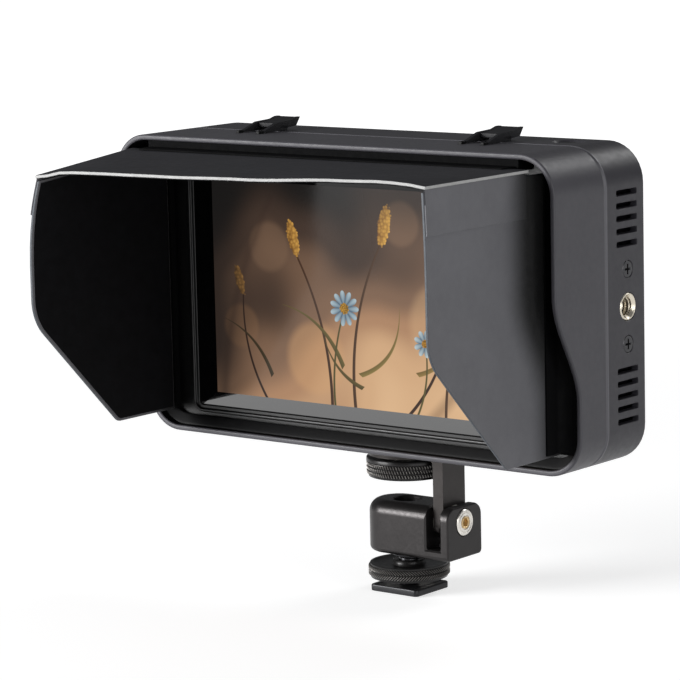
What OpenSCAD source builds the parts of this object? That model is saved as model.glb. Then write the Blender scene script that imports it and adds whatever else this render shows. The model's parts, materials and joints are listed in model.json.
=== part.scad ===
// Camera field monitor with a folding sun hood, on a tilting accessory-shoe mount.
// X runs to the right seen from the front, Y runs to the back and Z runs up.
// The origin is the centre of the shoe foot's underside, on the axis of its stud.

/* [Casing] */
// Casing left and right of the picture
side_margin = 23.1; // [20:0.1:32]
// Casing above and below the picture
edge_margin = 13.9; // [12.5:0.1:22]
// Radius of the casing's four long corners
corner_r = 12; // [9:0.5:14.4]
// Depth of the rear casing, from the seam to its back face
casing_d = 21.3; // [20.5:0.1:28]
// Wall of the rear casing
casing_wall = 2.2; // [1.8:0.1:3]
// Height of the casing's underside over the foot's underside
body_z = 48.2; // [47:0.1:56]
// Distance of the seam in front of the mount axis
seam_front = 12.7; // [12:0.1:15]
// Height of one vent slot
vent_h = 1.6; // [1:0.1:2]
// Length of one vent slot
vent_l = 10.8; // [6:0.1:12]
// Spacing of the vent slots
vent_pitch = 3.8; // [3:0.1:4.2]
// Distance of each group's first slot from mid height
vent_start = 18.9; // [17.5:0.1:21]

/* [Display] */
// Width of the picture
screen_w = 121.8; // [101:0.1:150]
// Height of the picture
screen_h = 68.5; // [57:0.1:84]
// Distance of the picture's centre below mid height
screen_drop = 1.4; // [0:0.1:2]
// Black border of the cover glass left and right
glass_side = 7.6; // [4:0.1:9]
// Black border of the cover glass above and below
glass_edge = 4.6; // [3:0.1:5]
// Thickness of the cover glass
glass_t = 1.1; // [0.7:0.1:1.5]
// Thickness of the liquid crystal panel
panel_t = 1.9; // [1.2:0.1:2.2]
// Thickness of the backlight
backlight_t = 3; // [2:0.1:3.2]
// Depth of the glass behind the lower rim of the hood frame
glass_recess = 6.9; // [6:0.1:8]

/* [Hood] */
// Wall of the hood frame
rim_wall = 1.7; // [1.4:0.1:2]
// Depth of the hood frame at its lower edge
rim_low_d = 13.7; // [13:0.1:16]
// How far the upper rim stands in front of the lower rim
rim_step = 12.3; // [9:0.1:14]
// Reach of the hood in front of the seam
hood_reach = 75.8; // [64:0.1:90]
// Distance of the side boards in from the casing's sides
hood_inset = 8.4; // [7.4:0.1:12]
// Distance of the hood's top face below the casing's top
hood_top_drop = 4.2; // [3.6:0.1:5]
// Thickness of the hood boards
board_t = 1; // [0.8:0.1:1.4]
// Thickness of the flock lining
lining_t = 0.4; // [0.3:0.1:0.5]
// Height of the strips that hang from the top board
strip_h = 14; // [10:0.5:20]
// Height of the side boards' lower edge over the casing's underside
side_low = 6.6; // [6:0.1:9]
// Depth and height of the slanted corner of the side boards
side_slant = 36.6; // [28:0.1:38]

/* [Mount] */
// Width of the shoe foot
foot_w = 18.6; // [18:0.1:19]
// Length of the shoe foot
foot_l = 17.4; // [16:0.1:19]
// Thickness of the shoe foot
foot_t = 2.1; // [1.8:0.1:2.1]
// Radius of the stud
stud_r = 3.17; // [3:0.01:3.3]
// Radius of both knurled wheels
wheel_r = 12.9; // [12:0.1:14]
// Height of the lock wheel
wheel_h = 4.5; // [4:0.1:4.8]
// Height of the yoke's underside
yoke_z = 12.6; // [12.4:0.1:13]
// Height of the yoke
yoke_h = 16.6; // [16:0.1:17.4]
// Width of the yoke, front to back
yoke_w = 18.2; // [16:0.1:20]
// Distance of the yoke's rounded end left of the axis
yoke_left = 13; // [12:0.1:15]
// Distance of the ear's outer face beyond the knurled wheels
ear_out = 9.1; // [8.5:0.1:11]
// Thickness of the ear
ear_t = 3.1; // [2.6:0.1:4]
// Height of the tilt pivot
pivot_z = 23.9; // [23:0.1:24.4]
// Radius of the tilt pivot
pivot_r = 2.5; // [2:0.1:3]
// Thickness of the arm
arm_t = 3.8; // [3:0.1:4.2]
// Width of the arm's upright
arm_w = 11.6; // [10:0.1:13]
// Height of the thumb knob
knob_h = 6.2; // [5:0.1:6.4]

/* [Hidden] */
$fn = 64;

// Clearance between pieces that are fixed to each other
fit = 0.1;
// Radial clearance of turning pieces
run = 0.07;
// Clearance between the hood frame's sleeve and the bezel
sleeve_gap = 0.15;
// Overlap that joins two shapes of one piece
weld = 0.05;

body_w = screen_w + 2 * side_margin;
body_h = screen_h + 2 * edge_margin;
seam_y = -seam_front;
back_y = seam_y + casing_d;
body_cz = body_z + body_h / 2;
body_top = body_z + body_h;
in_back_y = back_y - casing_wall;
in_x = body_w / 2 - casing_wall;
vent_y = seam_y + 11.3;

// The hood frame is a sleeve round the monitor's front
rim_low_y = seam_y - rim_low_d;
rim_top_y = rim_low_y - rim_step;
sleeve_w = body_w - 2 * rim_wall;
sleeve_h = body_h - 2 * rim_wall;
sleeve_r = corner_r - rim_wall;
bezel_w = sleeve_w - 2 * sleeve_gap;
bezel_h = sleeve_h - 2 * sleeve_gap;
bezel_r = sleeve_r - sleeve_gap;

// Display stack, from the glass to the tray
glass_y = rim_low_y + glass_recess;
glass_w = screen_w + 2 * glass_side;
glass_h = screen_h + 2 * glass_edge;
glass_cz = body_cz - screen_drop;
glass_r = 1.4;
ledge_t = 1;
tray_leg_t = 1.2;
panel_edge = 2.6;
panel_w = screen_w + 2 * panel_edge;
panel_h = screen_h + 2 * panel_edge;
panel_y = glass_y + glass_t + fit;
backlight_y = panel_y + panel_t;
tray_y = backlight_y + backlight_t;
tray_t = 0.8;
tray_w = panel_w + 10;
ridge_gap = 1.2;
ridge_w = 1;
ridge_h = 0.8;
bezel_front = glass_y - 0.1;
lip_l = 2;
lip_wall = 1.4;

// Screws at the back
case_screw_edge = 9;
case_screw_x = body_w / 2 - case_screw_edge;
case_screw_z = body_h / 2 - case_screw_edge;
case_screw_r = 1.4;
case_boss_r = 3.2;
case_head_r = 2.5;
case_head_t = 1.5;
case_head_sink = 0.2;
case_screw_y = bezel_front + 2.6;

// Main board and what it carries; chips are [x, z, width, height] from the board's centre
board_w = 112;
board_th = 1.6;
board_side = 6;
// Clearance of the board to the screw bosses above and below it
board_room = 4.95;
board_x = -body_w / 2 + board_side + board_w / 2;
board_y = seam_y + 8.7;
board_back = board_y + board_th;
board_screw_r = 2;
board_screw_t = 1.2;
chips = [[4, 4, 17, 17], [27, 8, 11, 9], [27, -8, 11, 9], [-16, -18, 9, 7], [4, -17, 8, 6]];
board_h = 2 * (body_h / 2 - case_screw_edge - case_boss_r - board_room);
post_r = 2.6;
post_hole_r = 1.1;
post_x = board_w / 2 - 12;
post_z = board_h / 2 - 5;
chip_t = 1.4;
spreader_t = 1.2;
spreader_w = 58;
spreader_h = 36;
spreader_x = board_x + 5;
ribbon_w = 8;
ribbon_t = 0.3;
ribbon_lap = 5;
ribbon_x = board_x + board_w / 2 - 1 - ribbon_w;

// Sockets on the left side, by height over mid height
hdmi_w = 15;
hdmi_t = 5.6;
hdmi_l = 11.5;
hdmi_tongue_w = 11;
hdmi_tongue_t = 1.2;
shell_t = 0.4;
hdmi_z = [-21.8, -5.8];
dc_z = 6.9;
dc_w = 8;
dc_l = 14;
dc_r = 2.8;
dc_pin_r = 1;
usb_w = 9;
usb_t = 3.4;
usb_l = 8;
usb_tongue_w = 6.6;
usb_tongue_t = 0.7;
usb_z = 24.3;
phone_z = 15.3;
phone_w = 6.4;
phone_l = 12;
phone_r = 1.85;
phone_collar = 3;
socket_sink = 1;
socket_x = -body_w / 2 + socket_sink;

// Threaded inserts for quarter inch screws
insert_r = 4.15;
insert_bore_r = 3.25;
insert_l = 7;
insert_flange_t = 3;
insert_flange_w = 10;
insert_flange_l = 30.4;
insert_screw_gap = 11.2;
insert_screw_l = 5.6;
insert_y = seam_y + 11.7;
screw_head_r = 2.6;
screw_head_t = 1.6;
screw_shank_r = 1.4;
cross_w = 0.6;
cross_l = 3.2;
cross_t = 0.9;

// Battery plate on the back
plate_w = 41;
plate_h = 72;
plate_t = 2.4;
plate_r = 2;
hook_l = 9;
hook_z = [-22, 12];
hook_stem = 1.6;
hook_out = 1.3;
hook_t = 1.1;
hook_w = 2;
plate_screw_x = 12;
plate_screw_z = 30;
plate_screw_r = 1;
plate_y = back_y + fit / 2;
plate_front_y = plate_y + plate_t;
release_r = 4;
release_z = -27;
release_out = 1.4;
release_flange_t = 1.2;
contact_x = 9;
contact_w = 2.4;
contact_z = -14;
contact_l = 10;
contact_sink = 1.2;
contact_room = 1;

// Power button on the top
button_x = body_w / 2 - 20.3;
button_y = seam_y + 11.1;
button_r = 2.9;
dish_r = 4.85;
dish_t = 0.7;
button_flange_r = 3.8;
button_flange_t = 1;
button_travel = 0.6;
switch_w = 6;
switch_h = 3.4;
switch_key_r = 1.7;
switch_key_t = 1;
button_sink = 0.4;
shelf_t = 1.4;
switch_board_t = 1;
switch_board_w = 14;
switch_board_d = 8;
button_under = body_top - casing_wall - fit - button_flange_t;
switch_top = button_under - button_travel - fit;
shelf_top = switch_top - switch_h - switch_board_t;

// Hood
flange_w = 3;
flange_t = 1.6;
flange_back = bezel_front - ridge_h - 0.4;
flange_front = flange_back - flange_t;
rail_t = 2;
rail_front = flange_front - rail_t;
hood_front = seam_y - hood_reach;
hood_top_z = body_top - hood_top_drop;
board_gap = 0.3;
side_out = body_w / 2 - hood_inset;
side_in = side_out - board_t;
hinge_gap = 0.6;
hinge_out = 0.9;
side_root = rail_front - hinge_gap;
side_top_z = hood_top_z - board_t - lining_t - board_gap;
side_low_z = body_z + side_low;
side_tip_r = 3;
side_bend_r = 16;
strip_in = side_out + board_gap;
strip_out = strip_in + board_t;
top_axis_y = rim_top_y - hinge_out;
top_root = top_axis_y - board_gap;
top_rail_half = strip_out - 6;
top_rail_back = rim_top_y + 9;
step_a = 32;
step_r_hi = 26;
step_r_lo = 18;
step_hi_z = body_cz + 9.3;
step_side = (step_r_hi + step_r_lo) * (1 - cos(step_a));
step_len = (rim_step - step_side) / sin(step_a);
step_lo_z = step_hi_z - (step_r_hi + step_r_lo) * sin(step_a) - step_len * cos(step_a);

// Latches that hold the hood frame on the casing
latch_x = 43.1;
latch_w = 9.4;
latch_rib = 1.3;
latch_front = seam_y - 7.3;
tooth_d = 2.2;
tooth_h = 0.9;

// Mount
foot_corner = 1.5;
spigot_r = 2.5;
spigot_l = 1.6;
collar_r = 5.2;
collar_t = 1.3;
wheel_z = foot_t + 2.3;
washer_t = 0.5;
washer_r = 8;
hub_r = 5;
hub_t = 1;
wheel_bevel = 0.7;
stud_head_r = 4.5;
stud_head_t = 3.2;
stud_head_z = yoke_z + 11.4;
hex_r = 2;
hex_floor = 1;
yoke_end_r = yoke_w / 2;
yoke_end_x = -yoke_left + yoke_end_r;
yoke_top_r = 4;
yoke_low_r = 1.5;
side_washer_t = 0.75;
side_washer_r = 5.4;
side_gap = 0.05;
yoke_right = wheel_r + ear_out;
slot_x1 = yoke_right - ear_t;
slot_x0 = slot_x1 - arm_t - 2 * side_washer_t - 4 * side_gap;
slot_floor_z = yoke_z + 3.2;
arm_x0 = slot_x0 + side_washer_t + 2 * side_gap;
arm_x1 = arm_x0 + arm_t;
pivot_head_r = 4.2;
pivot_head_t = 1.8;
pivot_proud = 0.3;
pivot_end_x = 6.4;
pivot_hex_r = 1.45;
pivot_hex_d = 1;
pad_t = 0.6;
plate_top_z = body_z - pad_t;
plate_low_z = plate_top_z - arm_t;
arm_plate_r = 12.2;
screw_r = 3.17;
screw_clear = 0.25;
knob_washer_t = 0.5;
knob_washer_r = 7;
knob_top_z = plate_low_z - knob_washer_t - 2 * side_gap;
knob_z = knob_top_z - knob_h;
screw_in = 3.6;
screw_seat = 2;
knob_dish_d = 1.2;
arc_steps = 8;

// Points along an arc in the plane
function arc(cx, cy, r, a0, a1, n) =
  [for (i = [0:n]) [cx + r * cos(a0 + (a1 - a0) * i / n), cy + r * sin(a0 + (a1 - a0) * i / n)]];

// Rectangle with round corners, centred
module round_rect(w, h, r) {
  square([w - 2 * r, h], center = true);
  square([w, h - 2 * r], center = true);
  for (sx = [-1, 1], sy = [-1, 1])
    translate([sx * (w / 2 - r), sy * (h / 2 - r)]) circle(r = r);
}

// Extrudes a drawing in X and Z from y0 back to y1
module along_y(y0, y1) {
  translate([0, y1, 0]) rotate([90, 0, 0]) linear_extrude(y1 - y0) children();
}

// Extrudes a drawing in Y and Z from x0 to x1
module along_x(x0, x1) {
  translate([x0, 0, 0]) rotate([90, 0, 90]) linear_extrude(x1 - x0) children();
}

module rod_x(x0, x1, y, z, r) {
  translate([x0, y, z]) rotate([0, 90, 0]) cylinder(r = r, h = x1 - x0);
}

module rod_y(y0, y1, x, z, r) {
  translate([x, y1, z]) rotate([90, 0, 0]) cylinder(r = r, h = y1 - y0);
}

module rod_z(z0, z1, r) {
  translate([0, 0, z0]) cylinder(r = r, h = z1 - z0);
}

module box(x0, x1, y0, y1, z0, z1) {
  translate([x0, y0, z0]) cube([x1 - x0, y1 - y0, z1 - z0]);
}

// Block of size w by h in X and Z about the point x, z
module block(x, z, w, h, y0, y1) {
  box(x - w / 2, x + w / 2, y0, y1, z - h / 2, z + h / 2);
}

// Puts its children at the four places x, z either side of mid height
module at_four(x, z) {
  for (sx = [-1, 1], sz = [-1, 1]) translate([sx * x, 0, body_cz + sz * z]) children();
}

module foot_plate() {
  color("#1c1c1e") difference() {
    linear_extrude(foot_t) round_rect(foot_w, foot_l, foot_corner);
    rod_z(foot_t - spigot_l - fit, foot_t + 1, spigot_r + fit);
  }
}

module stud_screw() {
  color("#2a2a2c") difference() {
    union() {
      rod_z(foot_t - spigot_l, foot_t + weld, spigot_r);
      rod_z(foot_t, stud_head_z + weld, stud_r);
      rod_z(yoke_z - fit / 2 - collar_t, yoke_z - fit / 2, collar_r);
      rod_z(stud_head_z, stud_head_z + stud_head_t, stud_head_r);
    }
    translate([0, 0, stud_head_z + hex_floor]) cylinder(r = hex_r, h = stud_head_t, $fn = 6);
  }
}

module lock_washer() {
  color("#d8d8d4") difference() {
    rod_z(wheel_z - side_gap - washer_t, wheel_z - side_gap, washer_r);
    rod_z(0, wheel_z + 1, stud_r + run);
  }
}

// Wheel with bevelled rims
module wheel(z, h, r, bevel) {
  translate([0, 0, z]) rotate_extrude($fn = 96)
    polygon([[0, 0], [r - bevel, 0], [r, bevel], [r, h - bevel], [r - bevel, h], [0, h]]);
}

module lock_wheel() {
  color("#202022") difference() {
    union() {
      wheel(wheel_z, wheel_h, wheel_r, wheel_bevel);
      rod_z(wheel_z + wheel_h - weld, wheel_z + wheel_h + hub_t, hub_r);
    }
    rod_z(wheel_z - 1, wheel_z + wheel_h + hub_t + 1, stud_r + run);
  }
}

// Side view of the yoke
module yoke_profile() {
  w = yoke_w / 2;
  z1 = yoke_z + yoke_h;
  polygon(concat(
    arc(w - yoke_low_r, yoke_z + yoke_low_r, yoke_low_r, -90, 0, arc_steps),
    arc(w - yoke_top_r, z1 - yoke_top_r, yoke_top_r, 0, 90, arc_steps),
    arc(-w + yoke_top_r, z1 - yoke_top_r, yoke_top_r, 90, 180, arc_steps),
    arc(-w + yoke_low_r, yoke_z + yoke_low_r, yoke_low_r, 180, 270, arc_steps)));
}

module yoke_block() {
  color("#242323") difference() {
    union() {
      along_x(yoke_end_x, yoke_right) yoke_profile();
      translate([yoke_end_x, 0, 0]) rotate_extrude()
        intersection() {
          yoke_profile();
          translate([0, yoke_z - 1]) square([yoke_w, yoke_h + 2]);
        }
    }
    box(slot_x0, slot_x1, -yoke_w, yoke_w, slot_floor_z, yoke_z + yoke_h + 1);
    rod_z(yoke_z - 1, stud_head_z, stud_r + run);
    rod_z(stud_head_z - fit / 2, yoke_z + yoke_h + 1, stud_head_r + run);
    rod_x(pivot_end_x - 1, yoke_right + 1, 0, pivot_z, pivot_r + side_gap);
    rod_x(yoke_right - pivot_head_t + pivot_proud, yoke_right + 1, 0, pivot_z, pivot_head_r + fit);
  }
}

module pivot_screw() {
  head_x = yoke_right - pivot_head_t + pivot_proud + fit;
  color("#d9d6d0") difference() {
    union() {
      rod_x(pivot_end_x, head_x + weld, 0, pivot_z, pivot_r);
      rod_x(head_x, yoke_right + pivot_proud + fit, 0, pivot_z, pivot_head_r);
    }
    translate([yoke_right + pivot_proud - pivot_hex_d, 0, pivot_z]) rotate([0, 90, 0])
      cylinder(r = pivot_hex_r, h = 2 * pivot_hex_d, $fn = 6);
  }
}

module pivot_washers() {
  color("#e6e4de") for (x = [slot_x0 + side_gap, slot_x1 - side_gap - side_washer_t])
    difference() {
      rod_x(x, x + side_washer_t, 0, pivot_z, side_washer_r);
      rod_x(x - 1, x + side_washer_t + 1, 0, pivot_z, pivot_r + run);
    }
}

// Round plate with a tongue that runs to the upright
module arm_plate_shape() {
  circle(r = arm_plate_r);
  translate([0, -arm_w / 2]) square([arm_x1, arm_w]);
}

module tilt_arm() {
  color("#242323") difference() {
    union() {
      along_x(arm_x0, arm_x1) {
        translate([0, pivot_z]) circle(r = arm_w / 2);
        translate([-arm_w / 2, pivot_z]) square([arm_w, plate_top_z - pivot_z]);
      }
      translate([0, 0, plate_low_z]) linear_extrude(arm_t) arm_plate_shape();
    }
    rod_x(arm_x0 - 1, arm_x1 + 1, 0, pivot_z, pivot_r + run);
    rod_z(plate_low_z - 1, plate_top_z + 1, screw_r + screw_clear);
  }
}

module arm_pad() {
  color("#151515") translate([0, 0, plate_top_z]) difference() {
    linear_extrude(pad_t - side_gap) arm_plate_shape();
    translate([0, 0, -1]) cylinder(r = screw_r + screw_clear, h = pad_t + 2);
  }
}

module knob_washer() {
  color("#d8d8d4") difference() {
    rod_z(knob_top_z + side_gap, knob_top_z + side_gap + knob_washer_t, knob_washer_r);
    rod_z(knob_top_z - 1, plate_low_z + 1, screw_r + run);
  }
}

module thumb_knob() {
  color("#202022") difference() {
    wheel(knob_z, knob_h, wheel_r, wheel_bevel);
    rod_z(knob_z + screw_seat, knob_top_z + 1, screw_r + fit / 2);
    rod_z(knob_z - 1, knob_z + knob_dish_d, hub_r);
  }
}

module mount_screw() {
  color("#c9c6be") rod_z(knob_z + screw_seat + fit / 2, body_z + screw_in, screw_r);
}

// Positions of the vent slots on one side, counted from mid height
function vent_rows(sign) = [for (i = [0:4]) sign * (vent_start + i * vent_pitch)];

// Slot with round ends, centred
module slot_shape(l, h) {
  square([l - h, h], center = true);
  for (s = [-1, 1]) translate([s * (l - h) / 2, 0]) circle(d = h, $fn = 32);
}

module vents(x0, x1, rows) {
  along_x(x0, x1) for (z = rows) translate([vent_y, body_cz + z]) slot_shape(vent_l, vent_h);
}

// Screw with a countersunk head whose face lies at the origin and looks along Z
module sunk_screw(length) {
  difference() {
    union() {
      translate([0, 0, -screw_head_t]) cylinder(r1 = screw_shank_r, r2 = screw_head_r, h = screw_head_t);
      translate([0, 0, -length]) cylinder(r = screw_shank_r, h = length - screw_head_t + weld);
    }
    for (a = [0, 90]) rotate([0, 0, a]) cube([cross_l, cross_w, 2 * cross_t], center = true);
  }
}

module sunk_hole(length) {
  translate([0, 0, -screw_head_t])
    cylinder(r1 = screw_shank_r + fit, r2 = screw_head_r + fit, h = screw_head_t);
  translate([0, 0, -weld]) cylinder(r = screw_head_r + fit, h = 1);
  translate([0, 0, -length - 1]) cylinder(r = screw_shank_r + fit, h = length + 1);
}

// Threaded insert whose mouth lies at the origin and looks along Z, with its screws along X
module insert_piece() {
  difference() {
    union() {
      translate([0, 0, -insert_l]) cylinder(r = insert_r, h = insert_l);
      translate([0, 0, -casing_wall - insert_flange_t]) linear_extrude(insert_flange_t - fit / 2)
        round_rect(insert_flange_l, insert_flange_w, 2);
    }
    translate([0, 0, -insert_l - 1]) cylinder(r = insert_bore_r, h = insert_l + 2);
    for (s = [-1, 1]) translate([s * insert_screw_gap, 0, 0]) sunk_hole(insert_l);
  }
}

module insert_cut() {
  translate([0, 0, -insert_l - 1]) cylinder(r = insert_r + fit, h = insert_l + 2);
  for (s = [-1, 1]) translate([s * insert_screw_gap, 0, 0]) sunk_hole(insert_l);
}

module insert_screw_pair() {
  for (s = [-1, 1]) translate([s * insert_screw_gap, 0, 0]) sunk_screw(insert_screw_l);
}

// Puts a piece on the right side or the underside of the casing
module at_side() {
  translate([body_w / 2, insert_y, body_cz]) rotate([0, 90, 0]) children();
}

module at_bottom() {
  translate([0, 0, body_z]) rotate([180, 0, 0]) children();
}

// Openings for the sockets in the left wall
module socket_cuts() {
  x0 = -body_w / 2 - 1;
  x1 = -in_x + 1;
  for (z = hdmi_z) box(x0, x1, board_y - hdmi_t - fit, board_y + fit,
    body_cz + z - hdmi_w / 2 - fit, body_cz + z + hdmi_w / 2 + fit);
  box(x0, x1, board_back - fit, board_back + dc_w + fit,
    body_cz + dc_z - dc_w / 2 - fit, body_cz + dc_z + dc_w / 2 + fit);
  box(x0, x1, board_y - usb_t - fit, board_y + fit,
    body_cz + usb_z - usb_w / 2 - fit, body_cz + usb_z + usb_w / 2 + fit);
  rod_x(x0, x1, board_y - phone_w / 2, body_cz + phone_z, phone_w / 2 + fit);
}

module rear_casing() {
  color("#2b2b2e") difference() {
    union() {
      difference() {
        along_y(seam_y, back_y) translate([0, body_cz]) round_rect(body_w, body_h, corner_r);
        along_y(seam_y - 1, in_back_y) translate([0, body_cz])
          round_rect(body_w - 2 * casing_wall, body_h - 2 * casing_wall, corner_r - casing_wall);
      }
      translate([board_x, 0, 0]) at_four(post_x, post_z) rod_y(board_back, in_back_y + weld, 0, 0, post_r);
      at_four(case_screw_x, case_screw_z) rod_y(seam_y + lip_l + 1, in_back_y + weld, 0, 0, case_boss_r);
      box(button_x - switch_board_w / 2, button_x + switch_board_w / 2, button_y - switch_board_d / 2,
        in_back_y + weld, shelf_top - shelf_t, shelf_top);
    }
    translate([board_x, 0, 0]) at_four(post_x, post_z)
      rod_y(board_back - 1, in_back_y - 1, 0, 0, post_hole_r);
    at_four(case_screw_x, case_screw_z) {
      rod_y(seam_y, back_y + 1, 0, 0, case_screw_r + fit);
      rod_y(back_y - case_head_t, back_y + 1, 0, 0, case_head_r + fit);
    }
    vents(in_x - 1, body_w / 2 + 1, concat(vent_rows(1), vent_rows(-1)));
    vents(-body_w / 2 - 1, -in_x + 1, [for (i = [3, 4]) vent_rows(1)[i]]);
    at_side() insert_cut();
    at_bottom() insert_cut();
    socket_cuts();
    translate([button_x, button_y, body_top - casing_wall - 1])
      cylinder(r = button_r + fit, h = casing_wall + 2);
    translate([button_x, button_y, body_top - dish_t]) cylinder(r = dish_r, h = 2);
    at_four(plate_screw_x, plate_screw_z) rod_y(in_back_y - 1, back_y + 1, 0, 0, plate_screw_r + fit);
    rod_y(in_back_y - 1, back_y + 1, 0, body_cz + release_z, release_r + fit);
  }
}

module front_bezel() {
  in_wall = casing_wall + fit;
  lip_in = in_wall + lip_wall;
  ridge_out = ridge_gap + ridge_w;
  color("#161618") difference() {
    union() {
      along_y(bezel_front, seam_y - fit) translate([0, body_cz]) round_rect(bezel_w, bezel_h, bezel_r);
      along_y(seam_y - fit - weld, seam_y + lip_l) translate([0, body_cz])
        round_rect(body_w - 2 * in_wall, body_h - 2 * in_wall, corner_r - in_wall);
      along_y(bezel_front - ridge_h, bezel_front + weld) translate([0, glass_cz]) difference() {
        round_rect(glass_w + 2 * ridge_out, glass_h + 2 * ridge_out, glass_r + ridge_gap);
        round_rect(glass_w + 2 * ridge_gap, glass_h + 2 * ridge_gap, glass_r + fit);
      }
    }
    // Seat of the glass, then the well of the panel, then the hollow behind
    along_y(bezel_front - 1, glass_y + glass_t + fit / 2) translate([0, glass_cz])
      round_rect(glass_w + 2 * fit, glass_h + 2 * fit, glass_r + fit);
    block(0, glass_cz, panel_w + 2 * fit, panel_h + 2 * fit, bezel_front, seam_y + lip_l + 1);
    difference() {
      along_y(glass_y + glass_t + ledge_t, seam_y + lip_l + 1) translate([0, body_cz])
        round_rect(body_w - 2 * lip_in, body_h - 2 * lip_in, corner_r - lip_in);
      at_four(case_screw_x, case_screw_z) rod_y(bezel_front, seam_y + lip_l + 1, 0, 0, case_boss_r);
    }
    at_four(case_screw_x, case_screw_z)
      rod_y(bezel_front + 2, seam_y + lip_l + 2, 0, 0, case_screw_r + fit / 2);
  }
}

module cover_glass() {
  color("#101216") along_y(glass_y, glass_y + glass_t) translate([0, glass_cz])
    round_rect(glass_w, glass_h, glass_r);
}

module display_panel() {
  color("#8a6f55") block(0, glass_cz, panel_w, panel_h, panel_y, panel_y + panel_t);
}

module backlight() {
  color("#e8e8e4") block(0, glass_cz, panel_w, panel_h, backlight_y, tray_y);
}

// Sheet metal tray behind the backlight, with legs that reach the bezel's ledge
module display_tray() {
  color("#b9bcc0") {
    block(0, glass_cz, tray_w, panel_h, tray_y, tray_y + tray_t);
    for (s = [-1, 1])
      block(s * (tray_w - tray_leg_t) / 2, glass_cz, tray_leg_t, panel_h,
        glass_y + glass_t + ledge_t, tray_y + weld);
  }
}

module main_board() {
  color("#1f5a3a") difference() {
    block(board_x, body_cz, board_w, board_h, board_y, board_back);
    translate([board_x, 0, 0]) at_four(post_x, post_z)
      rod_y(board_y - 1, board_back + 1, 0, 0, post_hole_r + fit);
  }
}

// Processor, memory and power chips on the board's front
module board_chips() {
  color("#202226") for (c = chips)
    block(board_x + c[0], body_cz + c[1], c[2], c[3], board_y - chip_t, board_y);
}

module heat_spreader() {
  color("#b9bcc0") block(spreader_x, body_cz, spreader_w, spreader_h, board_back, board_back + spreader_t);
}

// Flat ribbon from the display tray's edge round to the board
module display_ribbon() {
  z0 = glass_cz - panel_h / 2 - 1;
  y1 = board_y - fit;
  color("#c98a2e") {
    box(ribbon_x, ribbon_x + ribbon_w, tray_y - 1, y1, z0 - ribbon_t, z0);
    box(ribbon_x, ribbon_x + ribbon_w, y1 - ribbon_t, y1, z0 - ribbon_t, body_cz - board_h / 2 + ribbon_lap);
  }
}

module board_screws() {
  color("#c9c6be") translate([board_x, 0, 0]) at_four(post_x, post_z) {
    rod_y(board_y - board_screw_t, board_y, 0, 0, board_screw_r);
    rod_y(board_y - weld, board_back + 2 * board_screw_r, 0, 0, post_hole_r - fit / 2);
  }
}

// Bar along X about the X axis, t thick and w high
module block_x(x0, x1, t, w) {
  box(x0, x1, -t / 2, t / 2, -w / 2, w / 2);
}

// Metal shell with a tongue inside, at height z over mid height, of length l
module shell_socket(z, l, t, w, tongue_t, tongue_w) {
  mid = board_y - t / 2;
  translate([0, mid, body_cz + z]) difference() {
    block_x(socket_x, socket_x + l, t, w);
    difference() {
      block_x(socket_x - 1, socket_x + l - 1, t - 2 * shell_t, w - 2 * shell_t);
      block_x(socket_x + 1, socket_x + l, tongue_t, tongue_w);
    }
  }
}

module hdmi_sockets() {
  color("#c6c8cb") for (z = hdmi_z) shell_socket(z, hdmi_l, hdmi_t, hdmi_w, hdmi_tongue_t, hdmi_tongue_w);
}

module power_socket() {
  mid = board_back + dc_w / 2;
  color("#1a1a1c") {
    difference() {
      box(socket_x, socket_x + dc_l, mid - dc_w / 2, mid + dc_w / 2,
        body_cz + dc_z - dc_w / 2, body_cz + dc_z + dc_w / 2);
      rod_x(socket_x - 1, socket_x + dc_l - 2, mid, body_cz + dc_z, dc_r);
    }
    rod_x(socket_x + 1, socket_x + dc_l - 1, mid, body_cz + dc_z, dc_pin_r);
  }
}

module usb_socket() {
  color("#c6c8cb") shell_socket(usb_z, usb_l, usb_t, usb_w, usb_tongue_t, usb_tongue_w);
}

module phone_socket() {
  mid = board_y - phone_w / 2;
  color("#1a1a1c") difference() {
    union() {
      rod_x(socket_x, socket_x + phone_collar, mid, body_cz + phone_z, phone_w / 2);
      box(socket_x + phone_collar - weld, socket_x + phone_l, mid - phone_w / 2, board_y,
        body_cz + phone_z - phone_w / 2, body_cz + phone_z + phone_w / 2);
    }
    rod_x(socket_x - 1, socket_x + phone_l - 1, mid, body_cz + phone_z, phone_r);
  }
}

module side_insert() {
  color("#d8d2c4") at_side() insert_piece();
}

module bottom_insert() {
  color("#d8d2c4") at_bottom() insert_piece();
}

module insert_screws() {
  color("#2a2a2c") {
    at_side() insert_screw_pair();
    at_bottom() insert_screw_pair();
  }
}

module case_screws() {
  color("#2a2a2c") at_four(case_screw_x, case_screw_z) {
    rod_y(case_screw_y, back_y - case_head_t + weld, 0, 0, case_screw_r);
    difference() {
      rod_y(back_y - case_head_t, back_y - case_head_sink, 0, 0, case_head_r);
      for (a = [0, 90]) translate([0, back_y, 0]) rotate([0, a, 0])
        cube([cross_l, 2 * cross_t, cross_w], center = true);
    }
  }
}

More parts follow.
